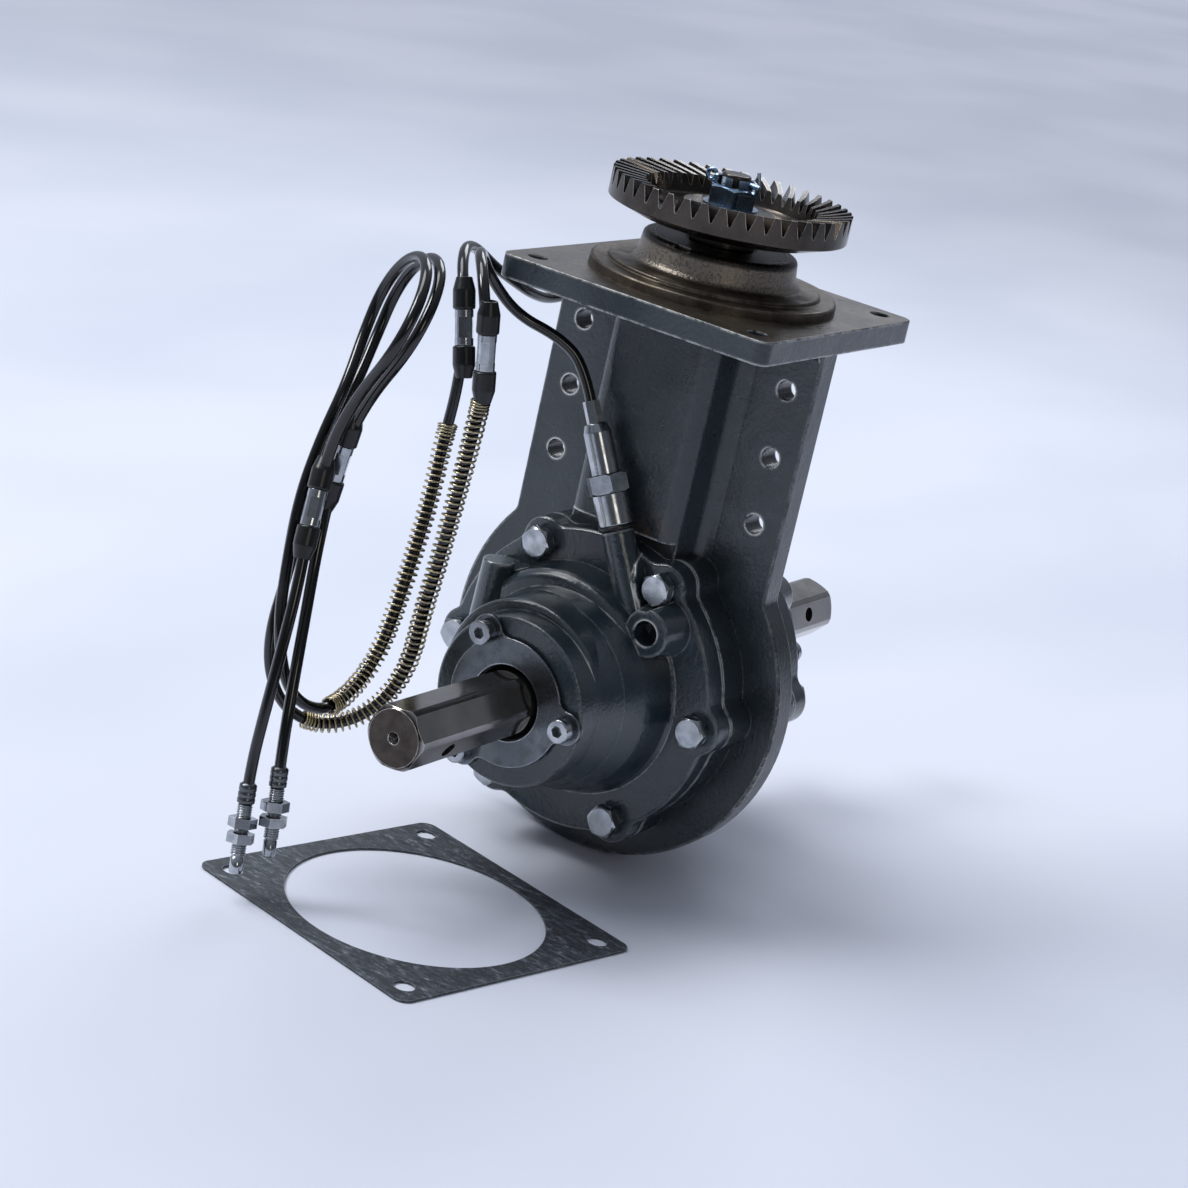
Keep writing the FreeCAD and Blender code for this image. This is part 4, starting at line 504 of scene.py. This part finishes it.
@dataclass(frozen=True)
class MachinedSteel:
    """Cut steel with a film of oil or phosphate, bright where its edges are rubbed.

    Attributes:
        dark: Hex code in the film's thick patches.
        light: Hex code in its thin patches.
        edge: Hex code of a rubbed edge.
        rough_low: Roughness where it is polished.
        rough_high: Roughness where it is dull.
        wear: Share of the edges that is bright, 0 to 1.
        patch_mm: Size of the patches.
        lines: Stretch of the cutting marks on each axis.
        edge_mm: Width of a rubbed edge.
        end_stain: Hex code that the shaft's end faces are browned to, or nothing.
    """

    dark: str
    light: str
    edge: str
    rough_low: float
    rough_high: float
    wear: float
    patch_mm: float = 14.0
    lines: Triple = (1.0, 0.08, 1.0)
    edge_mm: float = 0.8
    end_stain: str = ""

    END_MM = (217.5, 218.6)

    def build(self, name: str) -> bpy.types.Material:
        """Make the material.

        Args:
            name: The material's name.

        Returns:
            The finished material.
        """
        g = Graph(name)
        patches = g.spread(g.noise(self.patch_mm, 4, 0.6), 0.35, 0.65)
        color = g.mix(patches, self.dark, self.light)
        marks = g.noise(0.5, 2, 0.5, self.lines, 4)
        color = g.mix(g.spread(marks, 0.5, 0.9, 0, 0.08), color, self.edge)
        if self.end_stain:
            end = g.spread(g.calc("ABSOLUTE", g.axis("Y")), self.END_MM[0] * MM, self.END_MM[1] * MM)
            cloud = g.spread(g.noise(7, 4, 0.7, shift=6), 0.3, 0.7)
            color = g.mix(end, color, g.mix(cloud, self.end_stain, "#38322e"))
        edges = g.worn_edges(self.edge_mm, 0.02, 0.12)
        rubbed = g.spread(g.noise(5, 4, 0.7, shift=9), 0.60 - 0.25 * self.wear, 0.68 - 0.2 * self.wear)
        bright = g.calc("MULTIPLY", edges, rubbed)
        color = g.mix(bright, color, self.edge)
        # Painted shade: the colour darkens to near-black in corners and between parts, where little light
        # reaches
        corners = g.spread(g.openness(4), 0.3, 0.8, 0.5, 0)
        color = g.mix(corners, color, "#0d0c0b")
        rough = g.lerp(patches, self.rough_low, self.rough_high)
        normal = g.bump(marks, 0.006)
        return g.finish(Base_Color=color, Metallic=0.95, Roughness=g.lerp(bright, rough, 0.25),
                        Normal=normal)


@dataclass(frozen=True)
class ZincPlate:
    """Zinc plating, clear or blue passivated, with cloudy patches and painted shade darkening its corners.

    Attributes:
        pale: Hex code of the bright patches.
        dull: Hex code of the cloudy patches.
        tint: Hex code of the passivation's colour.
        rough_low: Roughness of the bright patches.
        rough_high: Roughness of the cloudy ones.
        edge_mm: Width of an edge rubbed bright.
    """

    pale: str
    dull: str
    tint: str
    rough_low: float
    rough_high: float
    edge_mm: float = 0.5

    def build(self, name: str) -> bpy.types.Material:
        """Make the material.

        Args:
            name: The material's name.

        Returns:
            The finished material.
        """
        g = Graph(name)
        cloud = g.spread(g.noise(7, 3, 0.5), 0.32, 0.70)
        color = g.mix(cloud, self.pale, self.dull)
        color = g.mix(g.spread(g.noise(11, 2, 0.5, shift=5), 0.5, 0.72, 0, 0.45), color, self.tint)
        # Painted shade: the colour darkens towards near-black in corners and between parts
        painted_shade = g.spread(g.openness(3), 0.25, 0.8, 0.5, 0)
        color = g.mix(painted_shade, color, "#2b2a28")
        rubbed = g.calc("MULTIPLY", g.worn_edges(self.edge_mm, 0.02, 0.1), 0.85)
        color = g.mix(rubbed, color, "#eceff2")
        fine = g.noise(0.7, 3, 0.6, shift=2)
        normal = g.bump(fine, 0.008)
        rough = g.lerp(cloud, self.rough_low, self.rough_high)
        rough = g.calc("ADD", rough, g.spread(fine, 0.3, 0.7, -0.04, 0.05))
        return g.finish(Base_Color=color, Metallic=1.0, Roughness=rough, Normal=normal)


@dataclass(frozen=True)
class Moulded:
    """Moulded rubber or extruded plastic with a light bloom of dust.

    Attributes:
        base: Hex code of the compound.
        bloom: Hex code of the dust on it.
        dust: Share of dust, 0 to 1.
        rough_low: Roughness of clean places.
        rough_high: Roughness of dusty places.
        grain_mm: Size of the surface grain.
        grain_depth: Height of the grain in millimetres.
        coat: Weight of the clear gloss over it.
    """

    base: str
    bloom: str
    dust: float
    rough_low: float
    rough_high: float
    grain_mm: float
    grain_depth: float
    coat: float = 0.0

    def build(self, name: str) -> bpy.types.Material:
        """Make the material.

        Args:
            name: The material's name.

        Returns:
            The finished material.
        """
        g = Graph(name)
        dusty = g.spread(g.noise(9, 5, 0.7), 0.45, 0.75, 0, self.dust)
        specks = g.spread(g.noise(0.9, 3, 0.7, shift=5), 0.66, 0.74, 0, self.dust)
        share = g.calc("ADD", dusty, specks, clamp=True)
        normal = g.bump(g.noise(self.grain_mm, 3, 0.6, shift=3), self.grain_depth)
        return g.finish(Base_Color=g.mix(share, self.base, self.bloom),
                        Roughness=g.lerp(share, self.rough_low, self.rough_high), Normal=normal,
                        Coat_Weight=self.coat, Coat_Roughness=0.08)


@dataclass(frozen=True)
class FibreSheet:
    """Calendered fibre gasket sheet, flecked with pale fibres along the roll.

    Attributes:
        base: Hex code of the binder.
        fleck: Hex code of the fibres.
        rough: Roughness of the sheet.
    """

    base: str
    fleck: str
    rough: float

    def build(self, name: str) -> bpy.types.Material:
        """Make the material.

        Args:
            name: The material's name.

        Returns:
            The finished material.
        """
        g = Graph(name)
        fibres = g.noise(3.4, 5, 0.75, (0.5, 1.3, 1.0))
        clumps = g.noise(7.5, 4, 0.6, (0.6, 1.0, 1.0), 4)
        color = g.mix(g.spread(fibres, 0.42, 0.60), self.base, "#4a5058")
        flecks = g.calc("MULTIPLY", g.spread(fibres, 0.54, 0.64), g.spread(clumps, 0.42, 0.6))
        color = g.mix(flecks, color, self.fleck)
        color = g.mix(g.spread(g.noise(0.9, 3, 0.7, shift=8), 0.66, 0.72, 0, 0.7), color, "#b9bdc4")
        edges = g.worn_edges(0.7, 0.03, 0.12)
        color = g.mix(g.calc("MULTIPLY", edges, 0.6), color, "#8d9197")
        normal = g.bump(fibres, 0.08)
        return g.finish(Base_Color=color, Roughness=self.rough, Normal=normal)


FINISHES = {
    Slot.CASE_PAINT: EnamelOnCasting("#1d262b", "#283238", 0.24, 0.38, 0.85,
                                     machined_top=True, stained=True),
    Slot.BARE_IRON: BareCastIron("#8f867a", "#665d52", "#3d342b", 8.3),
    Slot.SEAL_BLACK: Moulded("#0a0a0b", "#2a2927", 0.10, 0.34, 0.6, 1.4, 0.02),
    Slot.BEARING_STEEL: MachinedSteel("#9a9a98", "#c4c4c2", "#e0e0de", 0.16, 0.28, 0.5, lines=(1, 1, 1)),
    Slot.OILED_STEEL: MachinedSteel("#3c3834", "#57504a", "#cfc8bd", 0.16, 0.25, 1.0, 26,
                                    (1.0, 1.0, 0.4), 0.45),
    Slot.SHAFT_STEEL: MachinedSteel("#8b8986", "#a5a29e", "#f2eee7", 0.12, 0.20, 1.0, 34,
                                    end_stain="#4d4742"),
    Slot.BLUE_ZINC: ZincPlate("#a9bfd4", "#7d9ab6", "#5f8ab5", 0.14, 0.26),
    Slot.ZINC: ZincPlate("#b9bdc2", "#959a9f", "#a6a59a", 0.14, 0.25),
    Slot.BLACK_OXIDE: ZincPlate("#6f7376", "#55585b", "#5f5e59", 0.22, 0.34),
    Slot.GROUND_STEEL: MachinedSteel("#8f8f8e", "#b5b5b3", "#e2e2e0", 0.2, 0.3, 0.5),
    Slot.SPRING_STEEL: ZincPlate("#c9bd9f", "#97896a", "#d8c58f", 0.16, 0.3),
    Slot.RUBBER: Moulded("#0a0b0c", "#3a3d41", 0.14, 0.30, 0.5, 1.1, 0.035),
    Slot.SHEATH: Moulded("#060607", "#2c2f33", 0.06, 0.15, 0.26, 2.4, 0.02, 0.3),
    Slot.GASKET_PAPER: FibreSheet("#2c3036", "#868c95", 0.6),
}
PLATE_FINISH = ZincPlate("#6f7377", "#5a5e62", "#5f605e", 0.20, 0.30, 1.0)
COVER_FINISH = EnamelOnCasting("#1c262c", "#27333a", 0.15, 0.27, 1.0, 0.7)


class Paintshop:
    """Makes each finish once and gives every CAD piece the one of its slot, or its own one for the covers,
    the seal retainers and their screws.
    """

    def __init__(self, record: dict) -> None:
        """Note which piece has which slot.

        Args:
            record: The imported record.
        """
        self.slots = {part["node"]: Slot(part["material_slot"]) for part in record["subparts"]}
        self.made: dict[Slot, bpy.types.Material] = {}

    def material(self, slot: Slot) -> bpy.types.Material:
        """Give a slot's material.

        Args:
            slot: The material slot.

        Returns:
            The slot's material, made when it is first asked for.
        """
        if slot not in self.made:
            self.made[slot] = FINISHES[slot].build(slot.value)
        return self.made[slot]

    def coat(self, nodes: dict) -> None:
        """Give every CAD piece its material.

        Args:
            nodes: The CAD objects by name.
        """
        cover = COVER_FINISH.build("cover_paint")
        plate = PLATE_FINISH.build("retainer_plate")
        own = {"front_cover": cover, "rear_cover": cover, "front_seal_retainer": plate,
               "rear_seal_retainer": plate, "retainer_screws": self.material(Slot.ZINC)}
        for name, piece in nodes.items():
            finish = own.get(name) or self.material(self.slots[name])
            for slot in piece.material_slots:
                slot.material = finish

    def add(self, piece: bpy.types.Object, slot: Slot, body: str = "housing") -> bpy.types.Object:
        """Finish a new piece and let it ride on its body.

        Args:
            piece: The new object.
            slot: The slot that it takes its finish from.
            body: The body that it moves with.

        Returns:
            The same object.
        """
        piece.data.materials.append(self.material(slot))
        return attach(piece, body)


def grid_piece(name: str, grid: np.ndarray, round_rows: bool = False) -> bpy.types.Object:
    """Make a smooth mesh from rows of points, each row a closed loop.

    Args:
        name: The object's name.
        grid: Points as rows, points in a row, coordinates.
        round_rows: Whether the last row joins the first.

    Returns:
        The new object, linked to the scene.
    """
    rows, sides, _ = grid.shape
    row = np.arange(rows if round_rows else rows - 1)[:, None]
    side = np.arange(sides)[None, :]
    after, beside = (row + 1) % rows, (side + 1) % sides
    quads = np.stack([row * sides + side, row * sides + beside,
                      after * sides + beside, after * sides + side], axis=-1)
    faces = [tuple(q) for q in quads.reshape(-1, 4).tolist()]
    if not round_rows:
        faces.append(tuple(range(sides - 1, -1, -1)))
        faces.append(tuple((rows - 1) * sides + i for i in range(sides)))
    mesh = bpy.data.meshes.new(name)
    mesh.from_pydata(grid.reshape(-1, 3).tolist(), [], faces)
    mesh.polygons.foreach_set("use_smooth", np.ones(len(faces), dtype=bool))
    mesh.update()
    piece = bpy.data.objects.new(name, mesh)
    bpy.context.scene.collection.objects.link(piece)
    return piece


def carried(line: np.ndarray) -> tuple[np.ndarray, np.ndarray, np.ndarray]:
    """Carry a pair of cross directions along a line without twisting them.

    Args:
        line: Points of the line.

    Returns:
        Unit direction, side and up at each point.
    """
    ahead = np.gradient(line, axis=0)
    ahead /= np.linalg.norm(ahead, axis=1, keepdims=True)
    side = np.zeros_like(line)
    guess = np.cross(ahead[0], (0.0, 0.0, 1.0))
    if np.linalg.norm(guess) < 0.1:
        guess = np.cross(ahead[0], (1.0, 0.0, 0.0))
    for i, direction in enumerate(ahead):
        guess = guess - direction * np.dot(guess, direction)
        guess /= np.linalg.norm(guess)
        side[i] = guess
    return ahead, side, np.cross(ahead, side)


@dataclass
class Cable:
    """One clutch cable: its sheath, the coil that guards it and its threaded end.

    Attributes:
        side: Front or rear, the start of its CAD nodes' names.
        points: Its route.
        guard: First point, last point and start share of the guarded stretch.
        length: Its length in metres.
    """

    side: str
    points: list
    # length: Its length in metres; not used by the script.
    guard: tuple[int, int, float]
    length: float

    SHEATH_R = 3.0 * MM
    COIL_R = 4.8 * MM
    COIL_WIRE_R = 0.6 * MM
    COIL_PITCH = 3.4 * MM
    THREAD_R = 4.0 * MM
    THREAD_PITCH = 1.25 * MM
    THREAD_DEPTH = 0.6 * MM
    BARREL_END = 27.0 * MM
    ROD_END = 36.0 * MM

    def line(self) -> bpy.types.Object:
        """Make the sheath as a smooth curve through the route.

        Returns:
            The curve object.
        """
        curve = bpy.data.curves.new(f"{self.side}_sheath", "CURVE")
        curve.dimensions = "3D"
        curve.resolution_u = 8
        spline = curve.splines.new("NURBS")
        spline.points.add(len(self.points) - 1)
        for point, place in zip(spline.points, self.points):
            point.co = (*place, 1.0)
        spline.order_u = 3
        spline.use_endpoint_u = True
        piece = bpy.data.objects.new(f"{self.side}_sheath", curve)
        bpy.context.scene.collection.objects.link(piece)
        return piece

    def read(self, sheath: bpy.types.Object) -> np.ndarray:
        """Read the points of the curve's own line.

        Args:
            sheath: The curve object, before it has a bevel.

        Returns:
            The points along the line.
        """
        bpy.context.view_layer.update()
        mesh = bpy.data.meshes.new_from_object(sheath)
        places = np.empty(len(mesh.vertices) * 3)
        mesh.vertices.foreach_get("co", places)
        bpy.data.meshes.remove(mesh)
        return places.reshape(-1, 3)

    def coil(self, line: np.ndarray) -> bpy.types.Object:
        """Wind the open guard spring round the guarded stretch.

        The wire's centre turns round the line once per pitch, and each ring of the mesh stands round it.

        Args:
            line: Points of the cable's line.

        Returns:
            The coil object.
        """
        first, last, share = self.guard
        a, b = np.array(self.points[first]), np.array(self.points[first + 1])
        start = int(np.argmin(np.linalg.norm(line - (a + (b - a) * share), axis=1)))
        end = int(np.argmin(np.linalg.norm(line - np.array(self.points[last]), axis=1)))
        stretch = line[start:end + 1]
        run = np.concatenate([[0], np.cumsum(np.linalg.norm(np.diff(stretch, axis=0), axis=1))])
        steps = int(run[-1] / self.COIL_PITCH * 22)
        spots = np.linspace(0, run[-1], steps)
        centre = np.stack([np.interp(spots, run, stretch[:, k]) for k in range(3)], axis=1)
        for _ in range(30):
            centre[1:-1] = (centre[:-2] + 2 * centre[1:-1] + centre[2:]) / 4
        _, side, up = carried(centre)
        # The turns close up at both ends, as on a cut spring
        ease = np.minimum(spots, run[-1] - spots) / (3 * self.COIL_PITCH)
        rate = np.where(ease < 1, 2.6 - 1.6 * ease, 1.0)
        turn = np.cumsum(rate) * 2 * np.pi * (spots[1] - spots[0]) / self.COIL_PITCH
        wobble = self.COIL_R + 0.12 * MM * np.sin(turn * 0.31)
        wire = centre + wobble[:, None] * (np.cos(turn)[:, None] * side + np.sin(turn)[:, None] * up)
        _, across, over = carried(wire)
        angles = np.linspace(0, 2 * np.pi, 8, endpoint=False)
        grid = wire[:, None] + self.COIL_WIRE_R * (np.cos(angles)[None, :, None] * across[:, None]
                                                   + np.sin(angles)[None, :, None] * over[:, None])
        return grid_piece(f"{self.side}_guard_coil", grid)

    def barrel(self) -> bpy.types.Object:
        """Cut the thread on the cable's end barrel and add the plastic end tube.

        The radius falls by the thread's depth between crests, which climb one pitch each turn.

        Returns:
            The barrel object.
        """
        tail, before = np.array(self.points[-1]), np.array(self.points[-2])
        ahead = (tail - before) / np.linalg.norm(tail - before)
        side = np.cross(ahead, (1.0, 0.0, 0.0))
        side /= np.linalg.norm(side)
        up = np.cross(ahead, side)
        angles = np.linspace(0, 2 * np.pi, 40, endpoint=False)[None, :]
        spots = np.linspace(0.4 * MM, self.BARREL_END - 0.6 * MM, 190)[:, None]
        phase = np.mod(spots / self.THREAD_PITCH - angles / (2 * np.pi), 1.0)
        cut = np.clip(1.35 * np.abs(2 * phase - 1) - 0.1, 0, 1)
        radius = self.THREAD_R - self.THREAD_DEPTH * cut
        body = [(0.0, 3.2 * MM), (0.3 * MM, 3.4 * MM)]
        end, rod = self.BARREL_END, self.ROD_END
        tip = [(end - 0.4 * MM, 3.3 * MM), (end, 3.0 * MM), (end + 0.3 * MM, 3.0 * MM),
               (end + 0.5 * MM, 3.45 * MM), (rod - 0.8 * MM, 3.45 * MM), (rod, 2.9 * MM)]
        rings = [np.full((1, 40), r) for _, r in body] + [radius] + [np.full((1, 40), r) for _, r in tip]
        along = [[s] for s, _ in body] + spots.tolist() + [[s] for s, _ in tip]
        radius = np.concatenate(rings)[:, :, None]
        along = np.array(along)[:, :, None]
        around = np.cos(angles)[:, :, None] * side + np.sin(angles)[:, :, None] * up
        grid = tail + along * ahead + radius * around
        return grid_piece(f"{self.side}_thread", grid)

    def crimp(self, line: np.ndarray) -> bpy.types.Object:
        """Press the end sleeve onto the sheath just before the barrel.

        Args:
            line: Points of the cable's line.

        Returns:
            The sleeve object.
        """
        run = np.concatenate([[0], np.cumsum(np.linalg.norm(np.diff(line[::-1], axis=0), axis=1))])
        spots = np.array([0.0, 0.6, 1.0, 3.0, 3.6, 4.2, 6.0, 6.6, 7.2, 10.0, 11.0]) * MM
        radii = np.array([3.4, 4.4, 4.6, 4.6, 4.2, 4.6, 4.6, 4.2, 4.6, 4.5, 3.2]) * MM
        centre = np.stack([np.interp(spots, run, line[::-1][:, k]) for k in range(3)], axis=1)
        _, side, up = carried(centre)
        angles = np.linspace(0, 2 * np.pi, 32, endpoint=False)[None, :, None]
        around = np.cos(angles) * side[:, None] + np.sin(angles) * up[:, None]
        grid = centre[:, None] + radii[:, None, None] * around
        return grid_piece(f"{self.side}_crimp", grid)

    def build(self, shop: Paintshop) -> None:
        """Args:
            shop: Gives the materials.
        """
        sheath = self.line()
        line = self.read(sheath)
        sheath.data.bevel_depth = self.SHEATH_R
        sheath.data.bevel_resolution = 6
        sheath.data.use_fill_caps = True
        shop.add(sheath, Slot.SHEATH)
        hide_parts(f"{self.side}_cable")
        coil = shop.add(self.coil(line), Slot.SPRING_STEEL)
        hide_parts(f"{self.side}_coil_guard")
        thread = shop.add(self.barrel(), Slot.ZINC)
        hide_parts(f"{self.side}_cable_barrel")
        crimp = shop.add(self.crimp(line), Slot.BLACK_OXIDE)
        LOG.info("%s cable: line of %d points", self.side, len(line))


@dataclass(frozen=True)
class Viewpoint:
    """The photograph's camera, from marks fitted on the gearbox.

    Attributes:
        azimuth: Degrees round the object from the front.
        elevation: Degrees above the horizon.
        roll: Degrees that the picture is turned.
        offset_mm: The frame's origin seen from the camera: right, down and ahead.
        lens_px: Focal length in pixels of a picture 1188 wide.
    """

    azimuth: float = 29.14
    elevation: float = 17.44
    roll: float = 12.73
    offset_mm: Triple = (63.11, -165.29, 1585.73)
    lens_px: float = 2953.6

    def build(self) -> bpy.types.Object:
        """Place the camera.

        Returns:
            The camera object.
        """
        az, el, roll = (math.radians(v) for v in (self.azimuth, self.elevation, self.roll))
        back = Vector((math.sin(az) * math.cos(el), -math.cos(az) * math.cos(el), math.sin(el)))
        right = (-back).cross(Vector((0, 0, 1))).normalized()
        down = -right.cross(-back)
        turn = Matrix(((math.cos(roll), -math.sin(roll), 0),
                       (math.sin(roll), math.cos(roll), 0),
                       (0, 0, 1)))
        rows = turn @ Matrix((right, down, -back))
        place = -(rows.transposed() @ Vector(self.offset_mm)) * MM
        look = Matrix((rows[0], -rows[1], -rows[2])).transposed().to_4x4()
        data = bpy.data.cameras.new("photo_camera")
        data.sensor_width = 36.0
        data.lens = self.lens_px / PHOTO_PX * data.sensor_width
        data.clip_start, data.clip_end = 0.05, 60
        camera = bpy.data.objects.new("photo_camera", data)
        camera.matrix_world = Matrix.Translation(place) @ look
        bpy.context.scene.collection.objects.link(camera)
        bpy.context.scene.camera = camera
        return camera


@dataclass(frozen=True)
class Studio:
    """White cloth under the gearbox and soft daylight from the upper left.

    Attributes:
        cloth: Hex code of the cloth.
        sky: Hex code of the light from all round.
        sky_strength: Its strength.
    """

    cloth: str = "#d3d8e5"
    sky: str = "#dfe7f7"
    sky_strength: float = 0.55

    REACH = 12.0
    AIM = (0, -0.05, -0.15)

    def floor(self, height: float) -> None:
        """Lay the cloth.

        Args:
            height: The object's lowest point.
        """
        mesh = bpy.data.meshes.new("cloth")
        reach = self.REACH
        mesh.from_pydata([(-reach, -reach, height), (reach, -reach, height), (reach, reach, height),
                          (-reach, reach, height)], [], [(0, 1, 2, 3)])
        cloth = bpy.data.objects.new("cloth", mesh)
        bpy.context.scene.collection.objects.link(cloth)
        g = Graph("cloth")
        folds = g.noise(260, 2, 0.4, (1.0, 0.45, 1.0))
        normal = g.bump(folds, 3)
        normal = g.bump(g.noise(1.6, 2, 0.5, shift=2), 0.05, normal)
        # Painted light and shade: the cloth is painted lighter on the folds' crests and darker in their
        # hollows
        color = g.mix(g.spread(folds, 0.35, 0.65), self.cloth, "#dee2ed")
        mesh.materials.append(g.finish(Base_Color=color, Roughness=0.8, Normal=normal))

    def light(self) -> None:
        """Set the sky and the windows' light."""
        world = bpy.data.worlds.new("daylight")
        bpy.context.scene.world = world
        world.use_nodes = True
        tree = world.node_tree
        sky = tree.nodes["Background"]
        # Bright towards the windows at the upper left, dim in the depth of the room
        place = tree.nodes.new("ShaderNodeTexCoord").outputs["Generated"]
        toward = tree.nodes.new("ShaderNodeVectorMath")
        toward.operation = "DOT_PRODUCT"
        toward.inputs[1].default_value = (-0.55, 0.25, 0.8)
        tree.links.new(place, toward.inputs[0])
        strength = tree.nodes.new("ShaderNodeMapRange")
        for socket, value in zip(list(strength.inputs)[1:5], (-0.2, 0.9, 0.12, self.sky_strength)):
            socket.default_value = value
        tree.links.new(toward.outputs["Value"], strength.inputs[0])
        tree.links.new(strength.outputs[0], sky.inputs["Strength"])
        sky.inputs["Color"].default_value = linear(self.sky)
        sun = bpy.data.lights.new("sun", "SUN")
        sun.energy = 1.35
        sun.angle = math.radians(35)
        sun.color = linear("#fbfcff")[:3]
        lamp = bpy.data.objects.new("sun", sun)
        lamp.rotation_mode = "QUATERNION"
        lamp.rotation_quaternion = Vector((0.5, 0.1, -1.0)).to_track_quat("-Z", "Y")
        bpy.context.scene.collection.objects.link(lamp)
        windows = (("window", (-1.3, -1.1, 1.2), 0.6, 20.0, "#fbfcff"),
                   ("back_window", (-0.5, 1.5, 1.3), 0.9, 12.0, "#f4f8ff"),
                   ("room", (1.7, -1.5, 0.7), 0.6, 3.0, "#fff6ea"))
        for name, place, size, power, code in windows:
            data = bpy.data.lights.new(name, "AREA")
            data.shape = "SQUARE"
            data.size = size
            data.energy = power
            data.color = linear(code)[:3]
            lamp = bpy.data.objects.new(name, data)
            lamp.location = place
            lamp.rotation_mode = "QUATERNION"
            aim = Vector(self.AIM) - Vector(place)
            lamp.rotation_quaternion = aim.to_track_quat("-Z", "Y")
            bpy.context.scene.collection.objects.link(lamp)


def main() -> None:
    logging.basicConfig(level=logging.INFO)
    bpy.context.scene.view_settings.view_transform = "Standard"
    Viewpoint().build()
    shop = Paintshop(frame["record"])
    Cable("front", FRONT_ROUTE, (10, 18, 0.2), 1.035).build(shop)
    Cable("rear", REAR_ROUTE, (15, 22, 0.7), 1.125).build(shop)
    shop.coat(frame["nodes"])
    studio = Studio()
    studio.floor(CAD_BOX[0][2] - 0.0005)
    studio.light()


if __name__ == "__main__":
    main()
